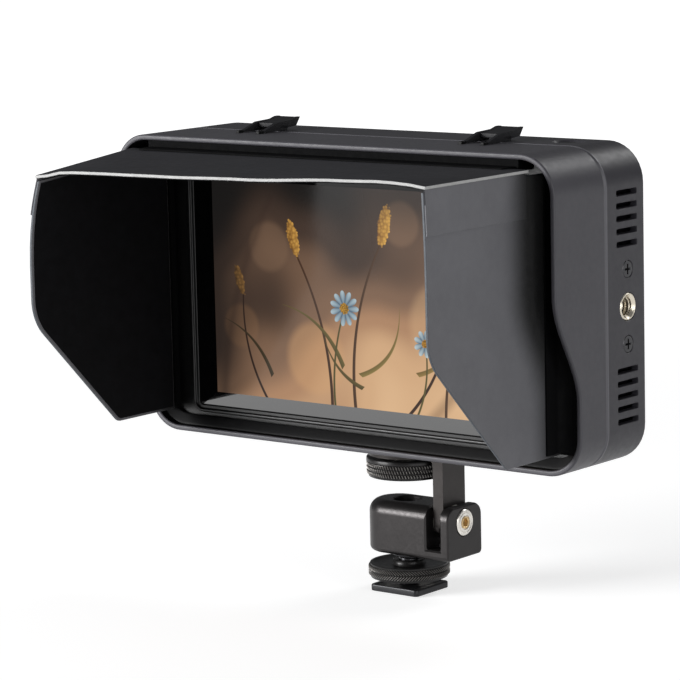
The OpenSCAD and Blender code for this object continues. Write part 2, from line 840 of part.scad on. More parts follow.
// Slide plate for a camcorder battery, with hooks along both edges
module battery_plate() {
  hook_x = plate_w / 2 - hook_w / 2;
  hook_mid = hook_x - hook_out / 2;
  hook_all = hook_w + hook_out;
  color("#1c1c1e") difference() {
    union() {
      along_y(plate_y, plate_front_y) translate([0, body_cz]) round_rect(plate_w, plate_h, plate_r);
      for (s = [-1, 1], z = hook_z) {
        box(s * hook_x - hook_w / 2, s * hook_x + hook_w / 2, plate_front_y - weld, plate_front_y + hook_stem,
          body_cz + z, body_cz + z + hook_l);
        box(s * hook_mid - hook_all / 2, s * hook_mid + hook_all / 2, plate_front_y + hook_stem - weld,
          plate_front_y + hook_stem + hook_t, body_cz + z, body_cz + z + hook_l);
      }
    }
    at_four(plate_screw_x, plate_screw_z) {
      translate([0, plate_front_y, 0]) rotate([-90, 0, 0]) translate([0, 0, -screw_head_t])
        cylinder(r = screw_head_r, h = screw_head_t + 1);
      rod_y(plate_y - 1, plate_front_y, 0, 0, plate_screw_r + 2 * fit);
    }
    rod_y(back_y - 1, plate_front_y + 1, 0, body_cz + release_z, release_r + fit);
    block(0, body_cz + contact_z, 2 * (contact_x + contact_w / 2 + contact_room),
      contact_l + 2 * contact_room, plate_front_y - contact_sink, plate_front_y + 1);
  }
}

module battery_contacts() {
  color("#d2a858") for (s = [-1, 1])
    block(s * contact_x, body_cz + contact_z, contact_w, contact_l,
      plate_front_y - contact_sink, plate_front_y + contact_room);
}

module battery_screws() {
  color("#2a2a2c") at_four(plate_screw_x, plate_screw_z) {
    rod_y(plate_front_y - screw_head_t, plate_front_y - case_head_sink, 0, 0, screw_head_r - fit);
    rod_y(plate_front_y - plate_t - casing_wall, plate_front_y - screw_head_t + weld, 0, 0, plate_screw_r);
  }
}

module battery_release() {
  color("#333336") {
    rod_y(in_back_y - fit - weld, plate_front_y + release_out, 0, body_cz + release_z, release_r);
    rod_y(in_back_y - fit - release_flange_t, in_back_y - fit, 0, body_cz + release_z, release_r + 1);
  }
}

module switch_board() {
  color("#1f5a3a") box(button_x - switch_board_w / 2, button_x + switch_board_w / 2,
    button_y - switch_board_d / 2, button_y + switch_board_d / 2, shelf_top, shelf_top + switch_board_t);
}

module push_switch() {
  color("#c6c8cb") translate([button_x, button_y, 0]) {
    box(-switch_w / 2, switch_w / 2, -switch_w / 2, switch_w / 2,
      shelf_top + switch_board_t, switch_top - switch_key_t);
    rod_z(switch_top - switch_key_t - weld, switch_top, switch_key_r);
  }
}

module power_button() {
  color("#1c1c1e") translate([button_x, button_y, 0]) {
    rod_z(button_under, button_under + button_flange_t, button_flange_r);
    rod_z(button_under + button_flange_t - weld, body_top - button_sink, button_r);
  }
}

// Front edge of the hood frame's lower half, seen from the side
function rim_cut() = concat(
  [[rim_top_y - 1, step_hi_z]],
  arc(rim_top_y + step_r_hi, step_hi_z, step_r_hi, 180, 180 + step_a, arc_steps),
  arc(rim_low_y - step_r_lo, step_lo_z, step_r_lo, step_a, 0, arc_steps),
  [[rim_low_y, body_z - 1], [rim_top_y - 1, body_z - 1]]);

module hood_frame() {
  color("#313134") difference() {
    union() {
      along_y(rim_top_y, seam_y - fit) translate([0, body_cz]) difference() {
        round_rect(body_w, body_h, corner_r);
        round_rect(sleeve_w, sleeve_h, sleeve_r);
      }
      along_y(flange_front, flange_back) translate([0, body_cz]) difference() {
        round_rect(sleeve_w + weld, sleeve_h + weld, sleeve_r);
        round_rect(sleeve_w - 2 * flange_w, sleeve_h - 2 * flange_w, sleeve_r - flange_w);
      }
      for (s = [-1, 1], e = [-1, 1]) translate([s * latch_x + e * (latch_w - latch_rib) / 2, 0, 0])
        box(-latch_rib / 2, latch_rib / 2, latch_front - 2 * fit - tooth_d, latch_front - 2 * fit,
          body_top - weld, body_top + tooth_h);
    }
    along_x(-body_w, body_w) polygon(rim_cut());
  }
}

// Strips inside the frame that carry the side boards' hinges
module hood_side_rails() {
  color("#151517") for (s = [-1, 1]) intersection() {
    translate([s > 0 ? side_in - lining_t : -body_w / 2, 0, 0])
      box(0, body_w / 2 - side_in + lining_t, rail_front, flange_front, side_low_z, side_top_z);
    along_y(rail_front - 1, flange_front + 1) translate([0, body_cz])
      round_rect(sleeve_w - 2 * fit, sleeve_h - 2 * fit, sleeve_r - fit);
  }
}

// Bracket under the frame's top wall with the fixed root of the top board
module hood_top_rail() {
  wall_z = body_top - rim_wall - fit / 2;
  root_y = top_axis_y + board_gap + board_t / 2;
  color("#151517") {
    box(-top_rail_half, top_rail_half, rim_top_y + 1, top_rail_back, hood_top_z - weld, wall_z);
    box(-top_rail_half, top_rail_half, root_y, top_rail_back, hood_top_z - board_t, hood_top_z);
  }
}

// Side view of a latch: ramp, bridge and lifted tail, as [y from the seam, height over the casing]
rib_points = [[-7.3, 0.15], [-7.3, 0.7], [-0.6, 2.9], [6.6, 3.2], [9.3, 3.9], [10.9, 3.9], [8.9, 1.2],
  [4.6, 0.9], [4.2, 0.15]];
bridge_points = [[-0.4, 1.3], [-0.4, 2.6], [6.6, 3.1], [9.3, 3.8], [10.8, 3.8], [8.9, 1.3]];

module latch(x) {
  color("#1c1c1e") translate([x, seam_y, body_top]) {
    for (e = [-1, 1]) translate([e * (latch_w - latch_rib) / 2, 0, 0])
      along_x(-latch_rib / 2, latch_rib / 2) polygon(rib_points);
    along_x(-latch_w / 2 + weld, latch_w / 2 - weld) polygon(bridge_points);
  }
}

module hood_latch_left() {
  latch(-latch_x);
}

module hood_latch_right() {
  latch(latch_x);
}

// Outline of a side board, seen from the side
side_bend_z = side_low_z + side_slant + side_bend_r * tan(22.5);
side_tip_y = hood_front + side_slant + side_tip_r * tan(22.5);
function side_outline() = concat(
  [[side_root, side_low_z], [side_root, side_top_z], [hood_front, side_top_z]],
  arc(hood_front + side_bend_r, side_bend_z, side_bend_r, 180, 225, arc_steps),
  arc(side_tip_y, side_low_z + side_tip_r, side_tip_r, 225, 270, arc_steps));

module side_board(s) {
  color("#3a3a3d") along_x(s > 0 ? side_in : -side_out, s > 0 ? side_out : -side_in) polygon(side_outline());
}

module side_lining(s) {
  color("#0a0a0b") along_x(s > 0 ? side_in - lining_t : -side_in, s > 0 ? side_in : -side_in + lining_t)
    polygon(side_outline());
}

module hood_side_left() {
  side_board(-1);
}

module hood_side_right() {
  side_board(1);
}

module side_lining_left() {
  side_lining(-1);
}

module side_lining_right() {
  side_lining(1);
}

// Top board with the strips that overlap the side boards
module hood_top() {
  color("#3a3a3d") {
    box(-strip_out, strip_out, hood_front, top_root, hood_top_z - board_t, hood_top_z);
    for (s = [-1, 1])
      box(s * (strip_in + board_t / 2) - board_t / 2, s * (strip_in + board_t / 2) + board_t / 2,
        hood_front, top_root - 1, hood_top_z - strip_h, hood_top_z - board_t + weld);
  }
}

module top_lining() {
  half = side_in - lining_t - board_gap;
  color("#0a0a0b")
    box(-half, half, hood_front, top_root - hinge_gap, hood_top_z - board_t - lining_t, hood_top_z - board_t);
}

foot_plate();
stud_screw();
lock_washer();
lock_wheel();
yoke_block();
pivot_screw();
pivot_washers();
tilt_arm();
arm_pad();
knob_washer();
thumb_knob();
mount_screw();
rear_casing();
front_bezel();
cover_glass();
display_panel();
backlight();
display_tray();
main_board();
board_chips();
heat_spreader();
display_ribbon();
board_screws();
hdmi_sockets();
power_socket();
usb_socket();
phone_socket();
side_insert();
bottom_insert();
insert_screws();
case_screws();
battery_plate();
battery_contacts();
battery_screws();
battery_release();
switch_board();
push_switch();
power_button();
hood_frame();
hood_side_rails();
hood_top_rail();
hood_latch_left();
hood_latch_right();
hood_side_left();
hood_side_right();
hood_top();
side_lining_left();
side_lining_right();
top_lining();
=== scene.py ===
import json
from math import atan2, cos, degrees, pi, radians, sin

import bmesh
import bpy
from mathutils import Matrix, Vector


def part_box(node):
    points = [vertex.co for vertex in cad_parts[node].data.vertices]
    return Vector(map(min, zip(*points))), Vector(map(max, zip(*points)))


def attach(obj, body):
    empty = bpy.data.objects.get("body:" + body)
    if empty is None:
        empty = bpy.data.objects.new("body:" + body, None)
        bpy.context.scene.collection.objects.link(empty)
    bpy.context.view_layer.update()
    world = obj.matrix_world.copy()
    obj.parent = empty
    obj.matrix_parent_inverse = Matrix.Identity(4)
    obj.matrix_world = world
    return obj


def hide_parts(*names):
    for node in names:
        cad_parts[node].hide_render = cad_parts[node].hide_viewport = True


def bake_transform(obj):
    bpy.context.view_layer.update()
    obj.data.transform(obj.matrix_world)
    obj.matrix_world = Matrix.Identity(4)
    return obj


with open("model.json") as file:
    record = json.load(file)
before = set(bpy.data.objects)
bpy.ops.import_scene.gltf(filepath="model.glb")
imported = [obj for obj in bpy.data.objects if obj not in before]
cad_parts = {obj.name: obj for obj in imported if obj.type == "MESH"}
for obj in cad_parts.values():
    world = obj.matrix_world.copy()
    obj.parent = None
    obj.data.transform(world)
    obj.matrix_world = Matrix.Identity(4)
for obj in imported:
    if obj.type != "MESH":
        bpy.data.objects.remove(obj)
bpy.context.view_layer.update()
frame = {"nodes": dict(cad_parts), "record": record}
nodes = frame["nodes"]
mm = 0.001  # every size below is in millimetres


def boxOf(node):
    low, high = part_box(node)
    return low / mm, high / mm


casingLow, casingHigh = boxOf("rear_casing")
glassLow, glassHigh = boxOf("cover_glass")
width = casingHigh.x - casingLow.x
height = casingHigh.z - casingLow.z
midZ = (casingHigh.z + casingLow.z) / 2
seamY = -12.7  # where the casing meets the hood frame


# Camera
photoCamera = {
    "place": (604.54, -793.39, 235.68),
    "azimuth": 38.47,  # degrees to the right of the front
    "pitch": 8.869,
    "roll": -1.322,
    "lens": 170.95,
    "sensor": 36,
}


def setCamera(s):
    turn, tilt, roll = (radians(s[key]) for key in ("azimuth", "pitch", "roll"))
    back = Vector((sin(turn) * cos(tilt), -cos(turn) * cos(tilt), sin(tilt)))
    levelRight = Vector((cos(turn), sin(turn), 0))
    levelUp = back.cross(levelRight)
    right = levelRight * cos(roll) + levelUp * sin(roll)
    up = levelUp * cos(roll) - levelRight * sin(roll)
    data = bpy.data.cameras.new("photoCamera")
    data.lens = s["lens"]
    data.sensor_width = s["sensor"]
    camera = bpy.data.objects.new("photoCamera", data)
    bpy.context.scene.collection.objects.link(camera)
    turned = Matrix((right, up, back)).transposed().to_4x4()
    camera.matrix_world = Matrix.Translation(Vector(s["place"]) * mm) @ turned
    bpy.context.scene.camera = camera


setCamera(photoCamera)
bpy.context.scene.view_settings.view_transform = "Standard"
print("camera set")


# Node building, for materials and for geometry
def srgb(red, green, blue):
    def linear(value):
        value /= 255
        return value / 12.92 if value <= 0.04045 else ((value + 0.055) / 1.055) ** 2.4
    return (linear(red), linear(green), linear(blue), 1)


def place(tree, kind, inputs=None, **settings):
    made = tree.nodes.new(kind)
    for key, value in settings.items():
        setattr(made, key, value)
    for key, value in (inputs or {}).items():
        if isinstance(value, bpy.types.NodeSocket):
            tree.links.new(value, made.inputs[key])
        else:
            made.inputs[key].default_value = value
    return made


def calc(tree, operation, *values):
    return place(tree, "ShaderNodeMath", dict(enumerate(values)), operation=operation).outputs[0]


def vectorMath(tree, operation, *values):
    return place(tree, "ShaderNodeVectorMath", dict(enumerate(values)), operation=operation).outputs[0]


def plus(tree, *values):
    return calc(tree, "ADD", *values)


def minus(tree, *values):
    return calc(tree, "SUBTRACT", *values)


def times(tree, *values):
    return calc(tree, "MULTIPLY", *values)


def axesOf(tree, vector):
    return place(tree, "ShaderNodeSeparateXYZ", {0: vector}).outputs


def flattened(tree, axes):
    return place(tree, "ShaderNodeCombineXYZ", {0: axes[0], 1: axes[1]}).outputs[0]


def lengthOf(tree, vector):
    return place(tree, "ShaderNodeVectorMath", {0: vector}, operation="LENGTH").outputs["Value"]


def scaled(tree, vector, amount):
    return place(tree, "ShaderNodeVectorMath", {0: vector, "Scale": amount}, operation="SCALE").outputs[0]


def noiseOf(tree, size, coords, detail=3.0, rough=0.55, stretch=None):
    # size is that of the noise's blotches, in millimetres
    if stretch:
        coords = place(tree, "ShaderNodeMapping", {"Vector": coords, "Scale": stretch}).outputs[0]
    return place(tree, "ShaderNodeTexNoise", {
        "Vector": coords, "Scale": 1 / (size * mm), "Detail": detail, "Roughness": rough}).outputs[0]


def blend(tree, factor, first, second):
    mix = place(tree, "ShaderNodeMix", {0: factor, 6: first, 7: second}, data_type="RGBA")
    return mix.outputs[2]


def ranged(tree, value, fromLow, fromHigh, toLow, toHigh, smooth=False):
    kind = "SMOOTHSTEP" if smooth else "LINEAR"
    return place(tree, "ShaderNodeMapRange", {
        0: value, 1: fromLow, 2: fromHigh, 3: toLow, 4: toHigh}, interpolation_type=kind).outputs[0]


def newSurface(name, **values):
    material = bpy.data.materials.new(name)
    material.use_nodes = True
    tree = material.node_tree
    shader = tree.nodes["Principled BSDF"]
    for label, value in values.items():
        shader.inputs[label.replace("_", " ")].default_value = value
    coords = place(tree, "ShaderNodeTexCoord").outputs["Object"]
    return material, tree, shader, coords


def shade(tree, shader, coords, colour, drift, patch, roughness, roughDrift):
    # Colour and gloss that drift a little over the surface, as they do on a real finish
    blotch = noiseOf(tree, patch, coords)
    dark = tuple(c * (1 - drift) for c in colour[:3]) + (1,)
    light = tuple(c * (1 + drift) for c in colour[:3]) + (1,)
    factor = ranged(tree, blotch, 0.3, 0.7, 0, 1)
    tree.links.new(blend(tree, factor, dark, light), shader.inputs["Base Color"])
    gloss = ranged(tree, noiseOf(tree, patch / 5, coords), 0.3, 0.7, roughness - roughDrift,
                   roughness + roughDrift)
    tree.links.new(gloss, shader.inputs["Roughness"])


def tinted(material, cover, colour):
    # Covers part of a finish with another colour
    tree = material.node_tree
    base = tree.nodes["Principled BSDF"].inputs["Base Color"]
    tree.links.new(blend(tree, cover, base.links[0].from_socket, srgb(*colour)), base)


def relief(tree, shader, heightValue, depth, strength=1.0, under=None):
    inputs = {"Height": heightValue, "Distance": depth * mm, "Strength": strength}
    if under is not None:
        inputs["Normal"] = under
    bump = place(tree, "ShaderNodeBump", inputs)
    tree.links.new(bump.outputs[0], shader.inputs["Normal"])
    return bump.outputs[0]


# Finishes
def moulded(name, colour, roughness=0.45, grain=0.22, depth=0.012, **values):
    # Moulded plastic with a fine spark-eroded grain
    material, tree, shader, coords = newSurface(name, **values)
    shade(tree, shader, coords, srgb(*colour), 0.05, 9, roughness, 0.05)
    fine = noiseOf(tree, grain, coords, detail=2)
    coarse = noiseOf(tree, grain * 3.2, coords, detail=1)
    both = plus(tree, fine, times(tree, coarse, 0.6))
    relief(tree, shader, both, depth)
    return material


def machined(name, colour, roughness=0.32, metallic=0.85, streak=(1, 1, 12), size=0.5, depth=0.004,
             **values):
    # Metal with fine tool marks, stretched along the way that it was cut
    material, tree, shader, coords = newSurface(name, Metallic=metallic, **values)
    shade(tree, shader, coords, srgb(*colour), 0.08, 5, roughness, 0.06)
    marks = noiseOf(tree, size, coords, detail=4, stretch=streak)
    relief(tree, shader, marks, depth)
    return material


def knurled(name, colour, paintedLight, radius, depth, plainAbove):
    # Dark wheel whose knurl crests are painted paler as a painted highlight, but not the thumb knob's plain
    # band
    material = machined(name, colour, 0.34, 0.5, streak=(1, 1, 1), size=0.25)
    tree = material.node_tree
    parts = axesOf(tree, place(tree, "ShaderNodeTexCoord").outputs["Object"])
    reach = lengthOf(tree, flattened(tree, parts))
    crest = ranged(tree, reach, (radius - depth * 0.75) * mm, radius * mm, 0, 1, smooth=True)
    crest = times(tree, crest, calc(tree, "LESS_THAN", parts[2], plainAbove * mm))
    # The paler crests are a painted highlight, where the knurl's tips catch the light
    tinted(material, crest, paintedLight)
    return material


def turned(name, colour, axis, centre, roughness=0.3, pitch=0.35, depth=0.006, metallic=0.9):
    # Metal faced on a lathe, with rings about its axis
    material, tree, shader, coords = newSurface(name, Metallic=metallic)
    shade(tree, shader, coords, srgb(*colour), 0.06, 3, roughness, 0.06)
    moved = place(tree, "ShaderNodeMapping", {
        "Vector": coords, "Location": tuple(-c * mm for c in centre)}).outputs[0]
    parts = axesOf(tree, moved)
    across = [parts[i] for i in range(3) if i != axis]
    reach = calc(tree, "SQRT", plus(tree, *(times(tree, c, c) for c in across)))
    rings = calc(tree, "SINE", times(tree, reach, 2 * pi / (pitch * mm)))
    relief(tree, shader, rings, depth)
    return material


# Painted shade on the side boards' cloth, darker towards the curve of the hood frame's rim
rimShadow = {
    "curveLow": 71.0,
    "curveHigh": 103.5,
    "rise": 12.3,
    "front": -26.4,
    "shadeFrom": 15.0,
    "shadeTo": 1.0,
    "paintedLight": (9, 9, 10),
}


def leatherette(name, colour, roughness=0.62, hinge=None, **values):
    # Coated cloth with pebbles about half a millimetre across
    material, tree, shader, coords = newSurface(name, **values)
    shade(tree, shader, coords, srgb(*colour), 0.07, 14, roughness, 0.06)
    # Painted shade: the cloth darkens towards the hood frame's rim, along its curve
    if hinge:
        parts = axesOf(tree, coords)
        lift = ranged(tree, parts[2], hinge["curveLow"] * mm, hinge["curveHigh"] * mm, 0,
                      hinge["rise"] * mm, smooth=True)
        gap = plus(tree, plus(tree, parts[1], lift), -hinge["front"] * mm)
        paintedLight = ranged(tree, gap, -hinge["shadeFrom"] * mm, -hinge["shadeTo"] * mm, 0, 1, smooth=True)
        tinted(material, paintedLight, hinge["paintedLight"])
    warp = times(tree, noiseOf(tree, 2.2, coords), 0.4 * mm)
    pebbles = place(tree, "ShaderNodeTexVoronoi", {
        "Vector": vectorMath(tree, "ADD", coords, warp), "Scale": 1 / (0.55 * mm)},
        feature="SMOOTH_F1").outputs[0]
    under = relief(tree, shader, pebbles, 0.05, 0.5)
    relief(tree, shader, noiseOf(tree, 0.2, coords), 0.02, 0.5, under)
    return material


def flocked(name, colour):
    # Short dense fibres that swallow the light
    material, tree, shader, coords = newSurface(name, Specular_IOR_Level=0.1)
    shade(tree, shader, coords, srgb(*colour), 0.25, 4, 0.95, 0.03)
    relief(tree, shader, noiseOf(tree, 0.13, coords, detail=4, rough=0.7), 0.08)
    return material


def bare(name, colour, roughness, patch=2.0, drift=0.08):
    # Plain solid material with a slight mottle, for what is inside
    material, tree, shader, coords = newSurface(name)
    shade(tree, shader, coords, srgb(*colour), drift, patch, roughness, 0.06)
    relief(tree, shader, noiseOf(tree, patch / 6, coords), 0.01)
    return material


def seamHighlightCasing(name, colour, highlightColour, low, high):
    # Casing plastic with a painted highlight along its seam with the hood frame
    material = moulded(name, colour, 0.44, Specular_IOR_Level=0.36)
    tree = material.node_tree
    along = axesOf(tree, place(tree, "ShaderNodeTexCoord").outputs["Object"])[1]
    behind = ranged(tree, along, (low - 0.2) * mm, low * mm, 0, 1, smooth=True)
    before = ranged(tree, along, high * mm, (high + 0.5) * mm, 1, 0, smooth=True)
    tinted(material, times(tree, behind, before), highlightColour)
    return material


finish = {
    # casingGrey carries a painted highlight along the seam
    "casingGrey": seamHighlightCasing("casingGrey", (50, 49, 54), (96, 95, 100), -12.5, -11.9),
    "frameGrey": moulded("frameGrey", (68, 67, 72), 0.46, Specular_IOR_Level=0.36),
    "bezelBlack": moulded("bezelBlack", (13, 13, 14), 0.4),
    # Near-black painted shade for the hood frame's inside and its latch teeth
    "innerBlack": moulded("innerBlack", (6, 6, 7), 0.5, Specular_IOR_Level=0.14),
    "latchBlack": moulded("latchBlack", (24, 24, 27), 0.56, grain=0.18, Specular_IOR_Level=0.25),
    "buttonBlack": moulded("buttonBlack", (26, 26, 28), 0.36),
    # Near-black painted shade for the hood rails in the gap beside the boards
    "railBlack": moulded("railBlack", (7, 7, 8), 0.75, Specular_IOR_Level=0.06),
    "plateBlack": moulded("plateBlack", (30, 30, 32), 0.48),
    "socketBlack": moulded("socketBlack", (18, 18, 19), 0.5),
    "armBlack": machined("armBlack", (52, 49, 48), 0.38, 0.75, streak=(1, 1, 0.15), size=0.3),
    "yokeBlack": machined("yokeBlack", (50, 48, 48), 0.36, 0.75, streak=(0.2, 1, 1), size=0.3),
    "wheelBlack": knurled("wheelBlack", (28, 27, 27), (128, 125, 122), 12.9, 0.55, 41.7),
    "shoeBlack": machined("shoeBlack", (30, 30, 33), 0.4, 0.45, streak=(0.2, 1, 1), size=0.3),
    "darkSteel": machined("darkSteel", (60, 60, 62), 0.25, 0.9, streak=(1, 1, 6)),
    "brightSteel": turned("brightSteel", (226, 222, 215), 0, (0, 0, 23.9)),
    "nylon": bare("nylon", (196, 194, 186), 0.5),
    "rubber": moulded("rubber", (22, 22, 22), 0.8, grain=0.3, depth=0.02),
    "insertMetal": turned("insertMetal", (214, 206, 190), 0, (0, -1, midZ), 0.28),
    "screwSteel": machined("screwSteel", (70, 70, 72), 0.3, 0.85, streak=(1, 1, 1), size=0.2),
    "hoodSkin": leatherette("hoodSkin", (97, 97, 101), hinge=rimShadow, Sheen_Weight=0.08),
    # The top board's cloth is the hood cloth painted darker, as painted shade
    "topSkin": leatherette("topSkin", (52, 52, 55), 0.7, Specular_IOR_Level=0.1),
    "flock": flocked("flock", (14, 14, 16)),
    # The pale and bluish-grey board edge colours are painted highlights along the edges
    "skinEdge": leatherette("skinEdge", (60, 65, 71), 0.55),
    # Near-black painted shade for the hinge bands in the gap at the hood frame
    "hingeSkin": leatherette("hingeSkin", (9, 9, 10), 0.75, Specular_IOR_Level=0.06),
    "boardEdge": bare("boardEdge", (170, 170, 169), 0.7),
    "brass": machined("brass", (206, 178, 132), 0.35, 0.9, streak=(1, 1, 1), size=0.3),
    "panelGlass": bare("panelGlass", (24, 26, 30), 0.2),
    "diffuser": bare("diffuser", (226, 226, 222), 0.6),
    "sheetAlloy": machined("sheetAlloy", (190, 192, 196), 0.35, 0.95, streak=(1, 1, 0.1)),
    "boardGreen": bare("boardGreen", (30, 88, 56), 0.4, 1.5, 0.15),
    "chipBlack": bare("chipBlack", (32, 33, 36), 0.5),
    "ribbonAmber": bare("ribbonAmber", (196, 134, 44), 0.35),
    "socketMetal": machined("socketMetal", (198, 200, 203), 0.28, 0.95, streak=(0.2, 1, 1)),
    "contactGold": machined("contactGold", (212, 170, 90), 0.25, 1.0, streak=(1, 1, 0.2)),
}

# The finish of each part that keeps its own shape, by the record's slots
slotFinish = {
    "shoe_black": "shoeBlack", "dark_steel": "darkSteel", "bright_steel": "brightSteel",
    "nylon": "nylon", "dark_alloy": "armBlack", "rubber_pad": "rubber",
    "casing_grey": "casingGrey", "frame_grey": "frameGrey", "bezel_black": "bezelBlack",
    "clear_glass": "panelGlass", "picture": "panelGlass", "diffuser": "diffuser",
    "bare_alloy": "sheetAlloy", "board_green": "boardGreen", "chip_black": "chipBlack",
    "ribbon_amber": "ribbonAmber", "screw_steel": "screwSteel", "socket_metal": "socketMetal",
    "socket_plastic": "socketBlack", "insert_metal": "insertMetal", "plate_black": "plateBlack",
    "contact_gold": "contactGold", "button_black": "buttonBlack", "latch_black": "latchBlack",
    "rail_black": "railBlack", "hood_skin": "hoodSkin", "flock": "flock",
}
for part in frame["record"]["subparts"]:
    for materialSlot in nodes[part["node"]].material_slots:
        materialSlot.material = finish[slotFinish[part["material_slot"]]]
print("finishes made")


# Stage
stage = {
    "floorSize": 12000,
    "floorDrop": 0.2,
    "floorColour": (205, 205, 205),
    "nearGlow": 0.62,  # what the eye sees added to the lit floor, near the part and far behind it
    "farGlow": 1.0,
    "glowFrom": 250,
    "glowTo": 1500,
    "worldColour": (0.62, 0.63, 0.65),
    "worldStrength": 0.2,
}


def makeFloor(s):
    reach = s["floorSize"] / 2 * mm
    mesh = bpy.data.meshes.new("floor")
    corners = [(-reach, -reach), (reach, -reach), (reach, reach), (-reach, reach)]
    mesh.from_pydata([(x, y, -s["floorDrop"] * mm) for x, y in corners], [], [(0, 1, 2, 3)])
    floor = bpy.data.objects.new("floor", mesh)
    bpy.context.scene.collection.objects.link(floor)
    material, tree, shader, coords = newSurface("floorPaper", Roughness=0.9, Specular_IOR_Level=0.0)
    shader.inputs["Base Color"].default_value = srgb(*s["floorColour"])
    shader.inputs["Emission Color"].default_value = (1, 1, 1, 1)
    path = place(tree, "ShaderNodeLightPath").outputs
    seen = calc(tree, "MAXIMUM", path["Is Camera Ray"], path["Is Glossy Ray"])
    seen = calc(tree, "MAXIMUM", seen, path["Is Transmission Ray"])
    away = lengthOf(tree, coords)
    glow = ranged(tree, away, s["glowFrom"] * mm, s["glowTo"] * mm, s["nearGlow"], s["farGlow"],
                  smooth=True)
    glow = times(tree, seen, glow)
    tree.links.new(glow, shader.inputs["Emission Strength"])
    mesh.materials.append(material)


def makeWorld(s):
    world = bpy.data.worlds.new("studio")
    world.use_nodes = True
    sky = world.node_tree.nodes["Background"]
    sky.inputs["Color"].default_value = s["worldColour"] + (1,)
    sky.inputs["Strength"].default_value = s["worldStrength"]
    bpy.context.scene.world = world


lamps = {
    # name: place, aim, width, height, watts
    "frontLeftSoft": ((-900, -1250, 420), (0, 0, 90), 800, 640, 36),
    "rightSoft": ((1500, -420, 400), (60, 0, 90), 600, 700, 7),
    "edgeSoft": ((1150, -900, 260), (80, -10, 90), 160, 700, 2.5),
    "backHigh": ((330, 1150, 980), (40, 0, 110), 700, 360, 5),
}


def makeLamp(name, position, aim, wide, high, watts):
    data = bpy.data.lights.new(name, "AREA")
    data.shape = "RECTANGLE"
    data.size, data.size_y = wide * mm, high * mm
    data.energy = watts
    lamp = bpy.data.objects.new(name, data)
    bpy.context.scene.collection.objects.link(lamp)
    towards = Vector(aim) - Vector(position)
    turned = towards.to_track_quat("-Z", "Y").to_matrix().to_4x4()
    lamp.matrix_world = Matrix.Translation(Vector(position) * mm) @ turned


makeFloor(stage)
makeWorld(stage)
for lampName, values in lamps.items():
    makeLamp(lampName, *values)
print("stage set")


# Mesh building
def metres(point):
    return tuple(v * mm for v in point)


def addPiece(name, bm):
    bmesh.ops.remove_doubles(bm, verts=bm.verts, dist=0.002 * mm)
    bmesh.ops.recalc_face_normals(bm, faces=bm.faces)
    mesh = bpy.data.meshes.new(name)
    bm.to_mesh(mesh)
    bm.free()
    piece = bpy.data.objects.new(name, mesh)
    bpy.context.scene.collection.objects.link(piece)
    return piece


def loft(name, rings, loop=False):
    # Skin over rings of points that all have the same number of points
    bm = bmesh.new()
    rows = [[bm.verts.new(Vector(point) * mm) for point in ring] for ring in rings]
    count = len(rows[0])
    pairs = list(zip(rows, rows[1:]))
    if loop:
        pairs.append((rows[-1], rows[0]))
    else:
        bm.faces.new(rows[0])
        bm.faces.new(rows[-1])
    for near, far in pairs:
        for i in range(count):
            j = (i + 1) % count
            bm.faces.new((near[i], near[j], far[j], far[i]))
    return addPiece(name, bm)


def onAxis(axis, along, a, b):
    # Point at a, b across an axis: X takes Y and Z, Y takes X and Z, Z takes X and Y
    return {"X": (along, a, b), "Y": (a, along, b), "Z": (a, b, along)}[axis]


def prism(name, outline, low, high, axis):
    return loft(name, [[onAxis(axis, along, a, b) for a, b in outline] for along in (low, high)])


def boxPiece(name, low, high):
    outline = [(low[1], low[2]), (high[1], low[2]), (high[1], high[2]), (low[1], high[2])]
    return prism(name, outline, low[0], high[0], "X")


def lathe(name, profile, axis="Z", centre=(0, 0, 0), steps=96, loop=False):
    # profile holds (radius, place along the axis)
    rings = []
    for radius, along in profile:
        ring = []
        for i in range(steps):
            angle = 2 * pi * i / steps
            point = Vector(onAxis(axis, along, radius * cos(angle), radius * sin(angle)))
            ring.append(point + Vector(centre))
        rings.append(ring)
    return loft(name, rings, loop)


def arc(a, b, radius, start, end, steps=8):
    angles = [radians(start + (end - start) * i / steps) for i in range(steps + 1)]
    return [(a + radius * cos(angle), b + radius * sin(angle)) for angle in angles]


def roundRect(wide, high, radius, inset=0.0, centre=(0, 0), steps=10):
    halfWide, halfHigh, r = wide / 2 - inset, high / 2 - inset, max(radius - inset, 0.05)
    points = []
    for turn, (sideA, sideB) in enumerate(((1, 1), (-1, 1), (-1, -1), (1, -1))):
        a, b = sideA * (halfWide - r) + centre[0], sideB * (halfHigh - r) + centre[1]
        points += arc(a, b, r, 90 * turn, 90 * turn + 90, steps)
    return points


def applied(piece):
    bpy.context.view_layer.update()
    graph = bpy.context.evaluated_depsgraph_get()
    mesh = bpy.data.meshes.new_from_object(piece.evaluated_get(graph))
    piece.modifiers.clear()
    spent = piece.data
    piece.data = mesh
    bpy.data.meshes.remove(spent)
    return piece


def carve(piece, *cutters, mode="DIFFERENCE"):
    for cutter in cutters:
        cut = piece.modifiers.new("cut", "BOOLEAN")
        cut.operation = mode
        cut.solver = "EXACT"
        cut.object = cutter
    applied(piece)
    for cutter in cutters:
        bpy.data.objects.remove(cutter)
    return piece


def bevelled(piece, bevelWidth, segments=3, angle=30):
    bevel = piece.modifiers.new("bevel", "BEVEL")
    bevel.width = bevelWidth * mm
    bevel.segments = segments
    bevel.limit_method = "ANGLE"
    bevel.angle_limit = radians(angle)
    bevel.miter_outer = "MITER_ARC"
    return applied(piece)


